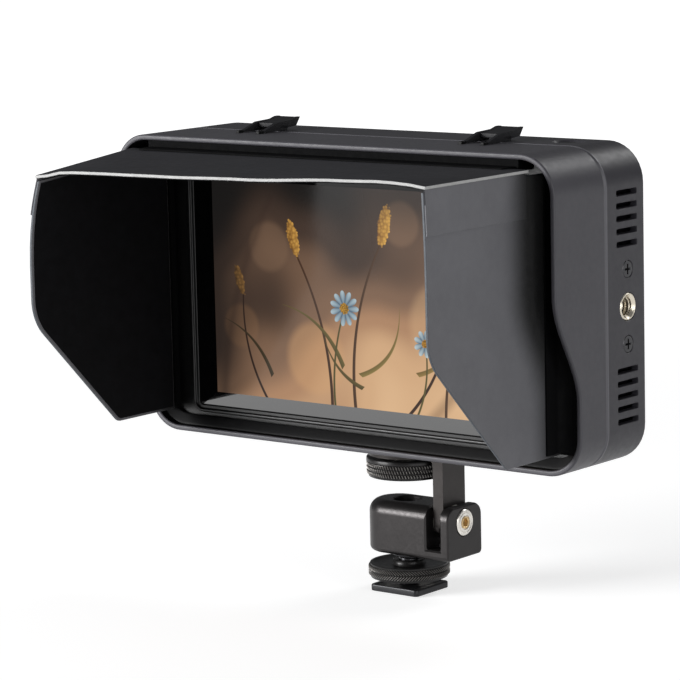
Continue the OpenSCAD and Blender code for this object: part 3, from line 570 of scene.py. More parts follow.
def joined(name, pieces):
    bm = bmesh.new()
    for piece in pieces:
        bm.from_mesh(piece.data)
        bpy.data.objects.remove(piece)
    mesh = bpy.data.meshes.new(name)
    bm.to_mesh(mesh)
    bm.free()
    made = bpy.data.objects.new(name, mesh)
    bpy.context.scene.collection.objects.link(made)
    return made


def smoothed(piece, angle=32):
    piece.data.shade_smooth()
    piece.data.set_sharp_from_angle(angle=radians(angle))
    weights = piece.modifiers.new("weights", "WEIGHTED_NORMAL")
    weights.keep_sharp = True
    return applied(piece)


def finished(piece, body, slot, surface=None, replaces=(), angle=32):
    material = finish[surface or slotFinish[slot]]
    if not piece.data.materials:
        piece.data.materials.append(material)
    smoothed(piece, angle)
    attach(piece, body)
    if replaces:
        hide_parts(*replaces)
    return piece


# Geometry node trees
def newTree(name, inputs):
    tree = bpy.data.node_groups.new(name, "GeometryNodeTree")
    for label, (kind, value) in inputs.items():
        socket = tree.interface.new_socket(label, in_out="INPUT", socket_type="NodeSocket" + kind)
        if value is not None:
            socket.default_value = value
    tree.interface.new_socket("Geometry", in_out="OUTPUT", socket_type="NodeSocketGeometry")
    given = tree.nodes.new("NodeGroupInput").outputs
    return tree, given


def partIn(tree, chosen):
    return place(tree, "GeometryNodeObjectInfo", {"Object": chosen}).outputs["Geometry"]


def closeTree(tree, geometry, material):
    whole = place(tree, "GeometryNodeRealizeInstances", {0: geometry}).outputs[0]
    coloured = place(tree, "GeometryNodeSetMaterial", {0: whole, "Material": material}).outputs[0]
    place(tree, "NodeGroupOutput", {0: coloured})


def grown(name, tree, **values):
    # Runs a tree on an empty mesh and keeps the result as a plain mesh
    piece = bpy.data.objects.new(name, bpy.data.meshes.new(name))
    bpy.context.scene.collection.objects.link(piece)
    modifier = piece.modifiers.new("tree", "NODES")
    modifier.node_group = tree
    for item in tree.interface.items_tree:
        if item.in_out == "INPUT" and item.name in values:
            modifier[item.identifier] = values[item.name]
    return applied(piece)


def rowTree():
    # Copies one part along a straight row
    tree, given = newTree("rowOfParts", {
        "Part": ("Object", None), "Count": ("Int", 5), "Start": ("Vector", (0, 0, 0)),
        "Step": ("Vector", (0, 0, 0.001)), "Material": ("Material", None)})
    line = place(tree, "GeometryNodeMeshLine", {
        "Count": given["Count"], "Start Location": given["Start"], "Offset": given["Step"]}).outputs[0]
    part = partIn(tree, given["Part"])
    copies = place(tree, "GeometryNodeInstanceOnPoints", {"Points": line, "Instance": part}).outputs[0]
    closeTree(tree, copies, given["Material"])
    return tree


rowOfParts = rowTree()


def row(name, part, count, start, step, material):
    return grown(name, rowOfParts, Part=part, Count=count, Start=metres(start), Step=metres(step),
                 Material=material)


# Rear casing
casing = {
    "cornerRadius": 12.0,
    "wall": 2.2,
    "backFillet": 1.3,
    "seamChamfer": 0.6,
    "ventLength": 10.8,
    "ventHeight": 1.6,
    "ventCorner": 0.5,
    "ventFlare": 0.18,
    "ventPitch": 3.8,
    "ventStart": 18.9,
    "ventCount": 5,
    "ventY": -1.4,
    "insertRadius": 4.25,
    "screwReach": 11.2,
    "screwRecess": 2.7,
    "insertY": -1.0,
    "buttonPlace": (63.7, -1.6),
    "dishRadius": 4.85,
    "dishDepth": 0.7,
    "buttonHole": 3.0,
    "backScrew": (75.0, 39.15),
    "backRecess": 2.65,
    "backRecessDepth": 1.5,
    "insertDepth": 12,
    # How far each kind of mouth widens, from how far inside the face and to how far outside it
    "wideMouth": (0.3, 0.2, 0.1),
    "smallMouth": (0.2, 0.15, 0.05),
    "backMouth": (0.25, 0.2, 0.05),
    # Y and height over the middle, at each socket hole's low and high corner
    "socketHoles": [((-9.7, -29.4), (-3.9, -14.2)), ((-9.7, -13.4), (-3.9, 1.8)),
                    ((-2.5, 2.8), (5.7, 11.0)), ((-7.5, 19.7), (-3.9, 28.9))],
    "phoneHole": (3.3, -7.2, 15.3),  # radius, Y, height over the middle
}


def casingLoop(y, inset):
    return [(a, y, b) for a, b in roundRect(width, height, casing["cornerRadius"], inset, (0, midZ))]


def casingShell(s):
    fillet, backY = s["backFillet"], casingHigh.y
    rings = [casingLoop(backY - s["wall"], s["wall"]), casingLoop(seamY, s["wall"]),
             casingLoop(seamY, s["seamChamfer"]), casingLoop(seamY + s["seamChamfer"], 0)]
    for inset, y in arc(fillet, backY - fillet, fillet, 180, 90, 6):
        rings.append(casingLoop(y, inset))
    return loft("casingShell", rings)


def ventCutter(s):
    outer = width / 2
    layers = [(outer - s["wall"] - 1, 0), (outer - 0.25, 0), (outer + 0.05, s["ventFlare"]),
              (outer + 0.5, s["ventFlare"])]
    rings = []
    for x, grow in layers:
        outline = roundRect(s["ventLength"] + 2 * grow, s["ventHeight"] + 2 * grow, s["ventCorner"] + grow,
                            0, (s["ventY"], 0), 4)
        rings.append([(x, a, b) for a, b in outline])
    return loft("ventCutter", rings)


def ventCutters(s):
    part = ventCutter(s)
    rows = []
    for sign in (1, -1):
        start = (0, 0, midZ + sign * s["ventStart"])
        rows.append(row("vents", part, s["ventCount"], start, (0, 0, sign * s["ventPitch"]), None))
    bpy.data.objects.remove(part)
    return joined("ventCutters", rows)


def leftVentCutters(s):
    part = ventCutter(s)
    part.data.transform(Matrix.Diagonal((-1, 1, 1, 1)))
    part.data.flip_normals()
    start = (0, 0, midZ + s["ventStart"] + 3 * s["ventPitch"])
    made = row("leftVents", part, 2, start, (0, 0, s["ventPitch"]), None)
    bpy.data.objects.remove(part)
    return made


def mouthCutter(axis, centre, face, out, depth, radius, mouth, steps=48):
    # A round hole sunk from a face, with out as 1 or -1 along the axis. The mouth's values are how far
    # it widens, from how far inside the face and to how far outside it
    wider, inside, outside = mouth
    layers = [(radius, face - out * depth), (radius, face - out * inside),
              (radius + wider, face + out * outside), (radius + wider, face + out)]
    return lathe("hole", layers, axis, centre, steps)


def casingHoles(s):
    edge, top, bottom, backY = width / 2, casingHigh.z, casingLow.z, casingHigh.y
    bore, recess, reach = s["insertRadius"], s["screwRecess"], s["screwReach"]
    wide, small, back = s["wideMouth"], s["smallMouth"], s["backMouth"]
    cutters = [mouthCutter("X", (0, s["insertY"], midZ), edge, 1, s["insertDepth"], bore, wide, 64)]
    for sign in (1, -1):
        cutters.append(mouthCutter("X", (0, s["insertY"], midZ + sign * reach), edge, 1, 4, recess, small))
        cutters.append(mouthCutter("Z", (sign * reach, 0, 0), bottom, -1, 4, recess, small))
        for low in (1, -1):
            centre = (sign * s["backScrew"][0], 0, midZ + low * s["backScrew"][1])
            cutters.append(mouthCutter("Y", centre, backY, 1, s["backRecessDepth"], s["backRecess"], back))
    cutters.append(mouthCutter("Z", (0, 0, 0), bottom, -1, s["insertDepth"], bore, wide, 64))
    dish, hole, floor = s["dishRadius"], s["buttonHole"], top - s["dishDepth"]
    cutters.append(lathe("buttonHole", [(hole, top - 4), (hole, floor - 0.1), (hole + 0.15, floor),
                                        (dish - 0.35, floor),
                                        (dish, top - 0.15), (dish + 0.15, top + 0.05),
                                        (dish + 0.15, top + 1)],
                         "Z", s["buttonPlace"] + (0,), 64))
    for (lowY, lowZ), (highY, highZ) in s["socketHoles"]:
        cutters.append(boxPiece("socketHole", (-edge - 1, lowY, midZ + lowZ),
                                (-edge + 3, highY, midZ + highZ)))
    radius, y, z = s["phoneHole"]
    cutters.append(mouthCutter("X", (0, y, midZ + z), -edge, -1, 3, radius, small))
    return joined("casingHoles", cutters)


rearCasing = carve(casingShell(casing), ventCutters(casing), leftVentCutters(casing), casingHoles(casing))
rearCasing.name = "rearCasing"
finished(rearCasing, "monitor", "casing_grey", replaces=("rear_casing",))
print("rear casing made")


# Hood frame
sleeve = {
    "cornerRadius": 12.0,
    "wall": 1.7,
    "rimFillet": 0.6,
    "lowFront": -26.4,
    "rise": 12.3,  # how far the upper rim stands in front of the lower rim
    "curveLow": 71.0,
    "curveHigh": 103.5,
    "back": -12.8,
    "backChamfer": 0.6,
    "flangeReach": 4.7,
    "flangeFront": -22.4,
    "flangeBack": -20.8,
    "spacing": 1.2,
    "toothWidth": 1.3,
    "toothDepth": 2.2,
    "toothHeight": 0.9,
}


def sleeveCut(s):
    # The wall cut through, as (distance out from the outside, Y)
    front, wall, f, chamfer, back = s["lowFront"], s["wall"], s["rimFillet"], s["backChamfer"], s["back"]
    outline = [(-chamfer, back), (0, back - chamfer), (0, front + 2)]
    outline += [(-a, b) for a, b in arc(f, front + f, f, 180, 270, 5)]
    outline += [(-a, b) for a, b in arc(wall - f, front + f, f, 270, 360, 5)]
    outline += [(-wall, front + 1.6), (-wall, s["flangeFront"] - 0.9), (-2.4, s["flangeFront"] - 0.6)]
    outline += [(-4.4, s["flangeFront"] + 0.8), (-s["flangeReach"], s["flangeFront"] + 1.1)]
    outline += [(-s["flangeReach"], s["flangeBack"]), (-wall, s["flangeBack"]), (-wall, back)]
    return outline


def edgeLoop(name, points):
    mesh = bpy.data.meshes.new(name)
    count = len(points)
    mesh.from_pydata([(a * mm, b * mm, 0) for a, b in points], [(i, (i + 1) % count) for i in range(count)],
                     [])
    loop = bpy.data.objects.new(name, mesh)
    bpy.context.scene.collection.objects.link(loop)
    return loop


def sleeveTree():
    # Sweeps the wall's cut round the casing's outline, then draws the front forward above the curve
    tree, given = newTree("sleeveSweep", {
        "Cut": ("Object", None), "Width": ("Float", 0.168), "Height": ("Float", 0.0963),
        "Corner Radius": ("Float", 0.012), "Spacing": ("Float", 0.001), "Centre Height": ("Float", 0.096),
        "Front From": ("Float", -0.0255), "Rise": ("Float", 0.0123), "Curve Low": ("Float", 0.071),
        "Curve High": ("Float", 0.1035), "Material": ("Material", None)})
    path = place(tree, "GeometryNodeCurvePrimitiveQuadrilateral", {
        "Width": given["Width"], "Height": given["Height"]}, mode="RECTANGLE").outputs[0]
    path = place(tree, "GeometryNodeFilletCurve", {
        "Curve": path, "Radius": given["Corner Radius"], "Count": 20}, mode="POLY").outputs[0]
    path = place(tree, "GeometryNodeResampleCurve", {"Curve": path, "Length": given["Spacing"]},
                 mode="LENGTH").outputs[0]
    cut = partIn(tree, given["Cut"])
    cut = place(tree, "GeometryNodeMeshToCurve", {"Mesh": cut}).outputs[0]
    swept = place(tree, "GeometryNodeCurveToMesh", {"Curve": path, "Profile Curve": cut}).outputs[0]
    lifted = place(tree, "ShaderNodeCombineXYZ", {"Z": given["Centre Height"]}).outputs[0]
    stood = place(tree, "GeometryNodeTransform", {
        "Geometry": swept, "Translation": lifted, "Rotation": (pi / 2, 0, 0)}).outputs[0]
    position = place(tree, "GeometryNodeInputPosition").outputs[0]
    parts = axesOf(tree, position)
    atFront = calc(tree, "LESS_THAN", parts[1], given["Front From"])
    lift = ranged(tree, parts[2], given["Curve Low"], given["Curve High"], 0, 1, smooth=True)
    forward = times(tree, times(tree, lift, given["Rise"]), -1)
    offset = place(tree, "ShaderNodeCombineXYZ", {"Y": forward}).outputs[0]
    drawn = place(tree, "GeometryNodeSetPosition", {
        "Geometry": stood, "Selection": atFront, "Offset": offset}).outputs[0]
    closeTree(tree, drawn, given["Material"])
    return tree


def depthInside(x, z):
    # Distance of a point in from the casing's outline
    r = sleeve["cornerRadius"]
    across, up = abs(x) - (width / 2 - r), abs(z - midZ) - (height / 2 - r)
    return r - Vector((max(across, 0), max(up, 0))).length - min(max(across, up), 0)


def outward(piece):
    bm = bmesh.new()
    bm.from_mesh(piece.data)
    bmesh.ops.remove_doubles(bm, verts=bm.verts, dist=0.002 * mm)
    bmesh.ops.recalc_face_normals(bm, faces=bm.faces)
    bm.to_mesh(piece.data)
    bm.free()
    return piece


def latchTeeth(s, latch):
    teeth = []
    top = casingHigh.z
    back = latch["front"] - 0.2
    for side in (-1, 1):
        for edge in (-1, 1):
            x = side * latch["x"] + edge * (latch["width"] - latch["rib"]) / 2
            tooth = boxPiece("tooth", (x - s["toothWidth"] / 2, back - s["toothDepth"], top - 0.5),
                             (x + s["toothWidth"] / 2, back, top + s["toothHeight"]))
            teeth.append(bevelled(tooth, 0.25, 2))
    return teeth


latch = {
    "x": 43.1,
    "width": 9.4,
    "rib": 1.3,
    "front": -20.0,
    "bevel": 0.22,
    # Y from the seam, height over the casing
    "ribOutline": [(-7.3, 0.15), (-7.3, 0.7), (-0.6, 2.9), (6.6, 3.2), (9.3, 3.9), (10.9, 3.9), (8.9, 1.2),
                   (4.6, 0.9), (4.2, 0.15)],
    "bridgeOutline": [(-0.4, 1.3), (-0.4, 2.6), (6.6, 3.1), (9.3, 3.8), (10.8, 3.8), (8.9, 1.3)],
    "slotPlace": (2.6, 1.25),
    "slotLength": 3.4,
    "slotHeight": 0.8,
}

sleeveLoop = edgeLoop("sleeveLoop", sleeveCut(sleeve))
hoodFrame = grown("hoodFrame", sleeveTree(), Cut=sleeveLoop, Width=width * mm, Height=height * mm,
                  Material=finish["frameGrey"],
                  **{"Corner Radius": sleeve["cornerRadius"] * mm, "Spacing": sleeve["spacing"] * mm,
                     "Centre Height": midZ * mm, "Front From": (sleeve["lowFront"] + 1.2) * mm,
                     "Rise": sleeve["rise"] * mm, "Curve Low": sleeve["curveLow"] * mm,
                     "Curve High": sleeve["curveHigh"] * mm})
bpy.data.objects.remove(sleeveLoop)
outward(hoodFrame)
hoodFrame = joined("hoodFrame", [hoodFrame] + latchTeeth(sleeve, latch))
hoodFrame.data.materials.append(finish["frameGrey"])
hoodFrame.data.materials.append(finish["innerBlack"])
# The frame's inner faces and latch teeth take the near-black finish as painted shade
for frameFace in hoodFrame.data.polygons:
    faceX, faceZ = frameFace.center.x / mm, frameFace.center.z / mm
    onTooth = faceZ > casingHigh.z + 0.05
    frameFace.material_index = 1 if onTooth or depthInside(faceX, faceZ) > 1.66 else 0
finished(hoodFrame, "hood_frame", "frame_grey", replaces=("hood_frame",))
print("hood frame made")


# Latches
def makeLatch(name, node, body, s, side):
    top = casingHigh.z
    x, reach = side * s["x"], (s["width"] - s["rib"]) / 2
    pieces = []
    ribs = [(seamY + y, top + z) for y, z in s["ribOutline"]]
    bridge = [(seamY + y, top + z) for y, z in s["bridgeOutline"]]
    for edge in (-1, 1):
        rib = prism("rib", ribs, x + edge * reach - s["rib"] / 2, x + edge * reach + s["rib"] / 2, "X")
        y, z = s["slotPlace"]
        hollow = roundRect(s["slotLength"], s["slotHeight"], s["slotHeight"] / 2, 0, (seamY + y, top + z),
                           5)
        outer = x + edge * (reach + s["rib"] / 2)
        rib = carve(rib, prism("slot", hollow, outer - edge * 0.45, outer + edge, "X"))
        pieces.append(bevelled(rib, s["bevel"], 2, 40))
    plate = prism("bridge", bridge, x - s["width"] / 2 + 0.1, x + s["width"] / 2 - 0.1, "X")
    pieces.append(bevelled(plate, s["bevel"] * 0.8, 2, 25))
    return finished(joined(name, pieces), body, "latch_black", replaces=(node,))


makeLatch("latchLeft", "hood_latch_left", "latch_left", latch, -1)
makeLatch("latchRight", "hood_latch_right", "latch_right", latch, 1)
print("latches made")


# Front bezel and cover glass
bezel = {
    "back": -10.75,
    "front": -19.6,
    "outerInset": 1.85,
    "lipInset": 2.3,
    "frontChamfer": 0.5,
    "ridgeGap": 1.2,
    "ridgeWidth": 1.0,
    "ridgeHeight": 0.8,
    "seatGap": 0.1,
    "wellGap": 5.2,
    "ledge": 1.0,
}
glass = {
    "radius": 1.4,
    "edge": 0.22,
    "pictureWidth": 121.8,
    "pictureHeight": 68.5,
}
glassWide, glassTall = glassHigh.x - glassLow.x, glassHigh.z - glassLow.z
glassZ = (glassHigh.z + glassLow.z) / 2


def glassLoop(y, grow, radius=None):
    outline = roundRect(glassWide + 2 * grow, glassTall + 2 * grow,
                        radius or glass["radius"] + max(grow, 0), 0, (0, glassZ))
    return [(a, y, b) for a, b in outline]


def makeBezel(s):
    front, gap, wide, high, r = s["front"], s["ridgeGap"], s["ridgeWidth"], s["ridgeHeight"], 0.38
    seat, ledge = glassHigh.y + 0.05, glassHigh.y + s["ledge"]
    rings = [casingLoop(s["back"], s["lipInset"]), casingLoop(seamY - 0.1, s["lipInset"]),
             casingLoop(seamY - 0.1, s["outerInset"]),
             casingLoop(front + s["frontChamfer"], s["outerInset"]),
             casingLoop(front, s["outerInset"] + s["frontChamfer"]), glassLoop(front, gap + wide + 0.25),
             glassLoop(front - 0.25, gap + wide)]
    rings += [glassLoop(b, gap + a) for a, b in arc(wide - r, front - high + r, r, 0, -90, 4)]
    rings += [glassLoop(b, gap + a) for a, b in arc(r, front - high + r, r, -90, -180, 4)]
    rings += [glassLoop(front - 0.15, gap), glassLoop(front, gap - 0.15),
              glassLoop(front, s["seatGap"] + 0.15),
              glassLoop(front + 0.15, s["seatGap"]), glassLoop(seat, s["seatGap"]),
              glassLoop(seat, -s["wellGap"] + 0.3, 1), glassLoop(ledge, -s["wellGap"] + 0.3, 1),
              casingLoop(ledge, s["lipInset"] + 1.4), casingLoop(s["back"], s["lipInset"] + 1.4)]
    return loft("frontBezel", rings, loop=True)


finished(makeBezel(bezel), "monitor", "bezel_black", replaces=("front_bezel",))
print("bezel made")


# The picture on the screen: dry grass stems and seed heads before a soft warm ground
picture = {
    "tones": [(0.0, (30, 27, 25)), (0.22, (66, 52, 44)), (0.42, (124, 96, 76)), (0.62, (170, 130, 98)),
              (0.82, (206, 166, 126)), (1.0, (226, 188, 146))],
    # Out of focus discs: X, Z from the picture's middle, radius, colour, strength
    "discs": [(-38, 14, 9, (132, 104, 82), 0.30), (-20, -20, 13, (208, 160, 112), 0.35),
              (44, 18, 11, (196, 158, 120), 0.32),
              (14, 24, 8, (150, 118, 92), 0.28), (30, -6, 15, (224, 184, 138), 0.25),
              (-50, -12, 8, (150, 112, 80), 0.22),
              (55, -18, 12, (234, 200, 158), 0.30)],
    # Stems: from X, Z, to X, Z, sag, first and last half width, softness, colour, strength
    "stems": [(-58, -40, -36, 30, 5, 1.6, 0.9, 1.6, (58, 44, 38), 0.45),
              (20, -40, 58, 26, -7, 2.0, 1.0, 2.0, (96, 70, 52), 0.45),
              (52, -40, 36, 34, 4, 1.5, 0.8, 1.4, (104, 78, 60), 0.40),
              (-14, -40, -27, 12, -4, 0.62, 0.34, 0.12, (66, 46, 34), 1),
              (-4, -40, 6, 17, 5, 0.66, 0.34, 0.12, (72, 52, 38), 1),
              (10, -40, 33, 5, -6, 0.60, 0.32, 0.12, (58, 42, 34), 1),
              (30, -40, 51, 22, 6, 0.55, 0.30, 0.12, (80, 60, 46), 1),
              (-36, -40, -49, -2, 4, 0.5, 0.28, 0.12, (48, 36, 30), 1),
              (-9.2, -22, -33, -4, -4, 0.95, 0.05, 0.14, (92, 82, 48), 1),
              (-2.6, -24, 13, -2, -5, 0.95, 0.05, 0.14, (118, 102, 58), 1),
              (-1.6, -28, -17, -12, 3, 0.8, 0.05, 0.14, (84, 74, 44), 1),
              (19.5, -22, 36, -4, -4, 0.9, 0.05, 0.14, (126, 104, 60), 1),
              (-37.8, -27, -57, -10, -3, 0.8, 0.05, 0.14, (56, 48, 34), 1),
              (34.6, -26, 47, -9, -3, 0.8, 0.05, 0.14, (132, 108, 64), 1)],
    # Seed heads: X, Z, half length, half width, lean in degrees, dark and light colour
    "heads": [(-28.2, 17.2, 6.4, 2.3, 104, (112, 76, 36), (226, 172, 84)),
              (7.6, 23.0, 7.2, 2.6, 78, (122, 82, 36), (240, 186, 88)),
              (36.2, 9.6, 6.2, 2.2, 58, (116, 80, 40), (232, 180, 96)),
              (52.3, 27.2, 6.0, 2.1, 76, (128, 94, 54), (238, 196, 122)),
              (-50.4, 2.6, 5.4, 1.9, 106, (74, 54, 34), (160, 118, 66))],
    # Flowers: X, Z, radius, petals, dark and light petal, heart
    "flowers": [(-8.4, -3.5, 5.6, 11, (70, 92, 112), (168, 188, 196), (214, 158, 52)),
                (22.6, -12.2, 4.3, 9, (78, 100, 118), (182, 198, 202), (212, 150, 48)),
                (44.8, -19.8, 3.3, 9, (88, 108, 122), (190, 204, 206), (208, 154, 60))],
    "flowerStems": [(-12, -40, -8.4, -4, 2.5, 0.42, 0.3, 0.12, (78, 74, 44), 1),
                    (16, -40, 22.6, -12, -3, 0.4, 0.28, 0.12, (86, 80, 48), 1),
                    (49, -40, 44.8, -20, 2, 0.35, 0.25, 0.12, (98, 88, 54), 1)],
}


def inPicture(tree, spot, x, z, lean):
    # How far a spot lies along and across a line through x, z that leans by so many degrees
    away = vectorMath(tree, "SUBTRACT", spot, (x, z, 0))
    along, across = (cos(radians(lean)), sin(radians(lean)), 0), (-sin(radians(lean)), cos(radians(lean)),
                                                                  0)
    dots = [place(tree, "ShaderNodeVectorMath", {0: away, 1: way}, operation="DOT_PRODUCT").outputs["Value"]
            for way in (along, across)]
    return dots


def paintDisc(tree, spot, colour, x, z, radius, tint, strength):
    reach = place(tree, "ShaderNodeVectorMath", {0: spot, 1: (x, z, 0)},
                  operation="DISTANCE").outputs["Value"]
    cover = ranged(tree, reach, radius * 0.72, radius, strength, 0, smooth=True)
    return blend(tree, cover, colour, srgb(*tint))


def paintStem(tree, spot, colour, x0, z0, x1, z1, sag, wide0, wide1, soft, tint, strength):
    length = Vector((x1 - x0, z1 - z0)).length
    lean = degrees(atan2(z1 - z0, x1 - x0))
    along, across = inPicture(tree, spot, x0, z0, lean)
    part = calc(tree, "DIVIDE", along, length)
    bow = times(tree, times(tree, part, minus(tree, 1, part)), 4 * sag)
    aside = minus(tree, across, bow)
    off = calc(tree, "ABSOLUTE", aside)
    wide = ranged(tree, part, 0, 1, wide0, wide1)
    cover = ranged(tree, minus(tree, off, wide), -soft, soft, strength, 0, smooth=True)
    ends = times(tree, calc(tree, "GREATER_THAN", part, 0), calc(tree, "LESS_THAN", part, 1))
    side = ranged(tree, aside, -wide0, wide0, 1.35, 0.75)
    shaded = scaled(tree, srgb(*tint)[:3], side)
    return blend(tree, times(tree, cover, ends), colour, shaded)


def paintHead(tree, spot, colour, x, z, half, wide, lean, dark, light):
    along, across = inPicture(tree, spot, x, z, lean)
    u, v = calc(tree, "DIVIDE", along, half), calc(tree, "DIVIDE", across, wide)
    reach = calc(tree, "SQRT", plus(tree, times(tree, u, u), times(tree, v, v)))
    cells = place(tree, "ShaderNodeTexVoronoi",
                  {"Vector": spot, "Scale": 0.95, "Randomness": 0.8}).outputs[0]
    rough = plus(tree, reach, times(tree, cells, 0.35))
    cover = ranged(tree, rough, 1.02, 1.12, 1, 0)
    tone = ranged(tree, plus(tree, times(tree, cells, -0.9), times(tree, v, -0.35)), -0.9, 0.45, 0, 1)
    return blend(tree, cover, colour, blend(tree, tone, srgb(*dark), srgb(*light)))


def paintFlower(tree, spot, colour, x, z, radius, petals, dark, light, heart):
    away = vectorMath(tree, "SUBTRACT", spot, (x, z, 0))
    parts = axesOf(tree, away)
    reach = lengthOf(tree, away)
    turn = calc(tree, "ARCTAN2", parts[1], parts[0])
    lobe = calc(tree, "ABSOLUTE", calc(tree, "COSINE", times(tree, turn, petals / 2)))
    edge = times(tree, plus(tree, times(tree, calc(tree, "POWER", lobe, 0.6), 0.5), 0.5), radius)
    cover = ranged(tree, minus(tree, reach, edge), -0.1, 0.12, 1, 0)
    tone = times(tree, lobe, ranged(tree, reach, radius * 0.2, radius, 0.25, 1.0))
    colour = blend(tree, cover, colour, blend(tree, tone, srgb(*dark), srgb(*light)))
    speck = place(tree, "ShaderNodeTexVoronoi", {"Vector": spot, "Scale": 2.2}).outputs[0]
    middle = ranged(tree, plus(tree, reach, times(tree, speck, 0.5)), radius * 0.34, radius * 0.38, 1, 0)
    hearts = blend(tree, ranged(tree, speck, 0, 0.7, 0, 1), srgb(*heart), srgb(*(c * 0.55 for c in heart)))
    return blend(tree, middle, colour, hearts)


def pictureSurface(s):
    material, tree, shader, coords = newSurface("litPicture", Roughness=0.12, Specular_IOR_Level=0.12)
    parts = axesOf(tree, coords)
    spot = place(tree, "ShaderNodeCombineXYZ", {
        0: times(tree, parts[0], 1 / mm),
        1: minus(tree, times(tree, parts[2], 1 / mm), glassZ)}).outputs[0]
    axes = axesOf(tree, spot)
    drift = place(tree, "ShaderNodeTexNoise", {"Vector": spot, "Scale": 0.022, "Detail": 1.0}).outputs[0]
    tone = plus(tree, times(tree, axes[0], 0.0042), times(tree, axes[1], -0.0095))
    tone = plus(tree, tone, times(tree, drift, 0.9))
    ramp = place(tree, "ShaderNodeValToRGB", {0: tone})
    ramp.color_ramp.interpolation = "EASE"
    while len(ramp.color_ramp.elements) < len(s["tones"]):
        ramp.color_ramp.elements.new(1)
    for element, (spotAt, tint) in zip(ramp.color_ramp.elements, s["tones"]):
        element.position = spotAt
        element.color = srgb(*tint)
    colour = ramp.outputs[0]
    for disc in s["discs"]:
        colour = paintDisc(tree, spot, colour, *disc)
    for stem in s["stems"] + s["flowerStems"]:
        colour = paintStem(tree, spot, colour, *stem)
    for head in s["heads"]:
        colour = paintHead(tree, spot, colour, *head)
    for flower in s["flowers"]:
        colour = paintFlower(tree, spot, colour, *flower)
    # The hood shades the picture along its top and its left
    wide, tall = glass["pictureWidth"] / 2, glass["pictureHeight"] / 2
    left = ranged(tree, axes[0], -wide, 22 - wide, 0.42, 1, smooth=True)
    top = ranged(tree, axes[1], tall, tall - 14, 0.5, 1, smooth=True)
    colour = blend(tree, times(tree, left, top), srgb(24, 23, 23), colour)
    shader.inputs["Base Color"].default_value = (0.004, 0.004, 0.004, 1)
    shader.inputs["Emission Strength"].default_value = 1.0
    tree.links.new(colour, shader.inputs["Emission Color"])
    return material


def borderSurface(name, index):
    # Black print under clear glass
    material, tree, shader, coords = newSurface(name, Roughness=0.06, IOR=index)
    shade(tree, shader, coords, srgb(9, 9, 10), 0.15, 12, 0.05, 0.02)
    return material


def makeGlass(s):
    front, edge = glassLow.y, s["edge"]
    rings = [glassLoop(glassHigh.y, -edge), glassLoop(glassHigh.y - edge, 0)]
    rings += [glassLoop(b, a - edge) for a, b in arc(0, front + edge, edge, 0, -90, 4)]
    lit = roundRect(s["pictureWidth"], s["pictureHeight"], 0.05, 0, (0, glassZ))
    rings.append([(a, front, b) for a, b in lit])
    piece = loft("coverGlass", rings)
    for material in (borderSurface("borderGlass", 1.2), pictureSurface(picture),
                     borderSurface("lowBorderGlass", 2.25)):
        piece.data.materials.append(material)
    for face in piece.data.polygons:
        if face.normal.y < -0.99 and abs(face.center.x) < 0.01:
            if face.area > 0.001:
                face.material_index = 1
            elif face.center.z < glassZ * mm:
                face.material_index = 2
    return piece


finished(makeGlass(glass), "monitor", "clear_glass", replaces=("cover_glass",))
print("glass and picture made")


# Hood boards
hood = {
    "front": -88.5,
    "sideRoot": -25.0,
    "sideLow": 54.8,
    "sideTop": 138.5,
    "slant": 36.6,
    "bendRadius": 16.0,
    "tipRadius": 3.0,
    "sideOut": 75.6,
    "board": 1.0,
    "lining": 0.35,
    "liningInset": 0.9,
    "edgeRound": 0.28,
    "topOut": 76.15,
    "topRoot": -39.9,
    "topZ": 140.3,
    "topLiningOut": 73.7,
    "stripLow": 126.3,
    "stripThick": 0.45,
    "stripRoot": -41.2,
    "step": 6.0,
    # Height of the top board's front edge along X, as it sags and bows
    "frontEdge": [(-76.5, 136.4), (-71.4, 136.9), (-64.5, 138.1), (-56.1, 138.5), (-41.1, 138.7),
                  (-20.2, 138.9),
                  (9.2, 139.5), (46.8, 140.9), (61.3, 141.3), (68.4, 141.0), (74.7, 140.5), (76.5, 140.2)],
    "leftLean": 4.2,
    "rightLean": 0.7,
    "leanFrom": 106.0,
}


def frontHeight(x):
    points = hood["frontEdge"]
    for (x0, z0), (x1, z1) in zip(points, points[1:]):
        if x <= x1 or (x1, z1) == points[-1]:
            part = min(max((x - x0) / (x1 - x0), 0), 1)
            return z0 + (z1 - z0) * part * part * (3 - 2 * part)
    return points[-1][1]


def towardsFront(y, root):
    return min(max((root - y) / (root - hood["front"]), 0), 1)


def topSag(co):
    # Moves a point of the flat top board to the sagged one
    x, y, z = co / mm
    forward = towardsFront(y, hood["topRoot"])
    drop = (frontHeight(x) - hood["topZ"]) * forward
    inward = hood["leftLean"] * forward * min(max((-x - 20) / 56, 0), 1) ** 2
    inward -= hood["rightLean"] * forward * min(max((x - 20) / 56, 0), 1) ** 2
    return Vector((x + inward, y, z + drop)) * mm


def sideLean(co):
    # Moves a point of a flat side board inwards near the top of its front
    x, y, z = co / mm
    forward = towardsFront(y, hood["sideRoot"])
    amount = hood["leftLean"] if x < 0 else -hood["rightLean"]
    high = max((z - hood["leanFrom"]) / (137.5 - hood["leanFrom"]), 0) ** 2.2
    under = frontHeight(x) - hood["topZ"]
    squeeze = min(max((z - 112) / 26, 0), 1)
    return Vector((x + amount * forward * high, y,
                   z + min(under, 0) * towardsFront(y, hood["topRoot"]) * squeeze)) * mm


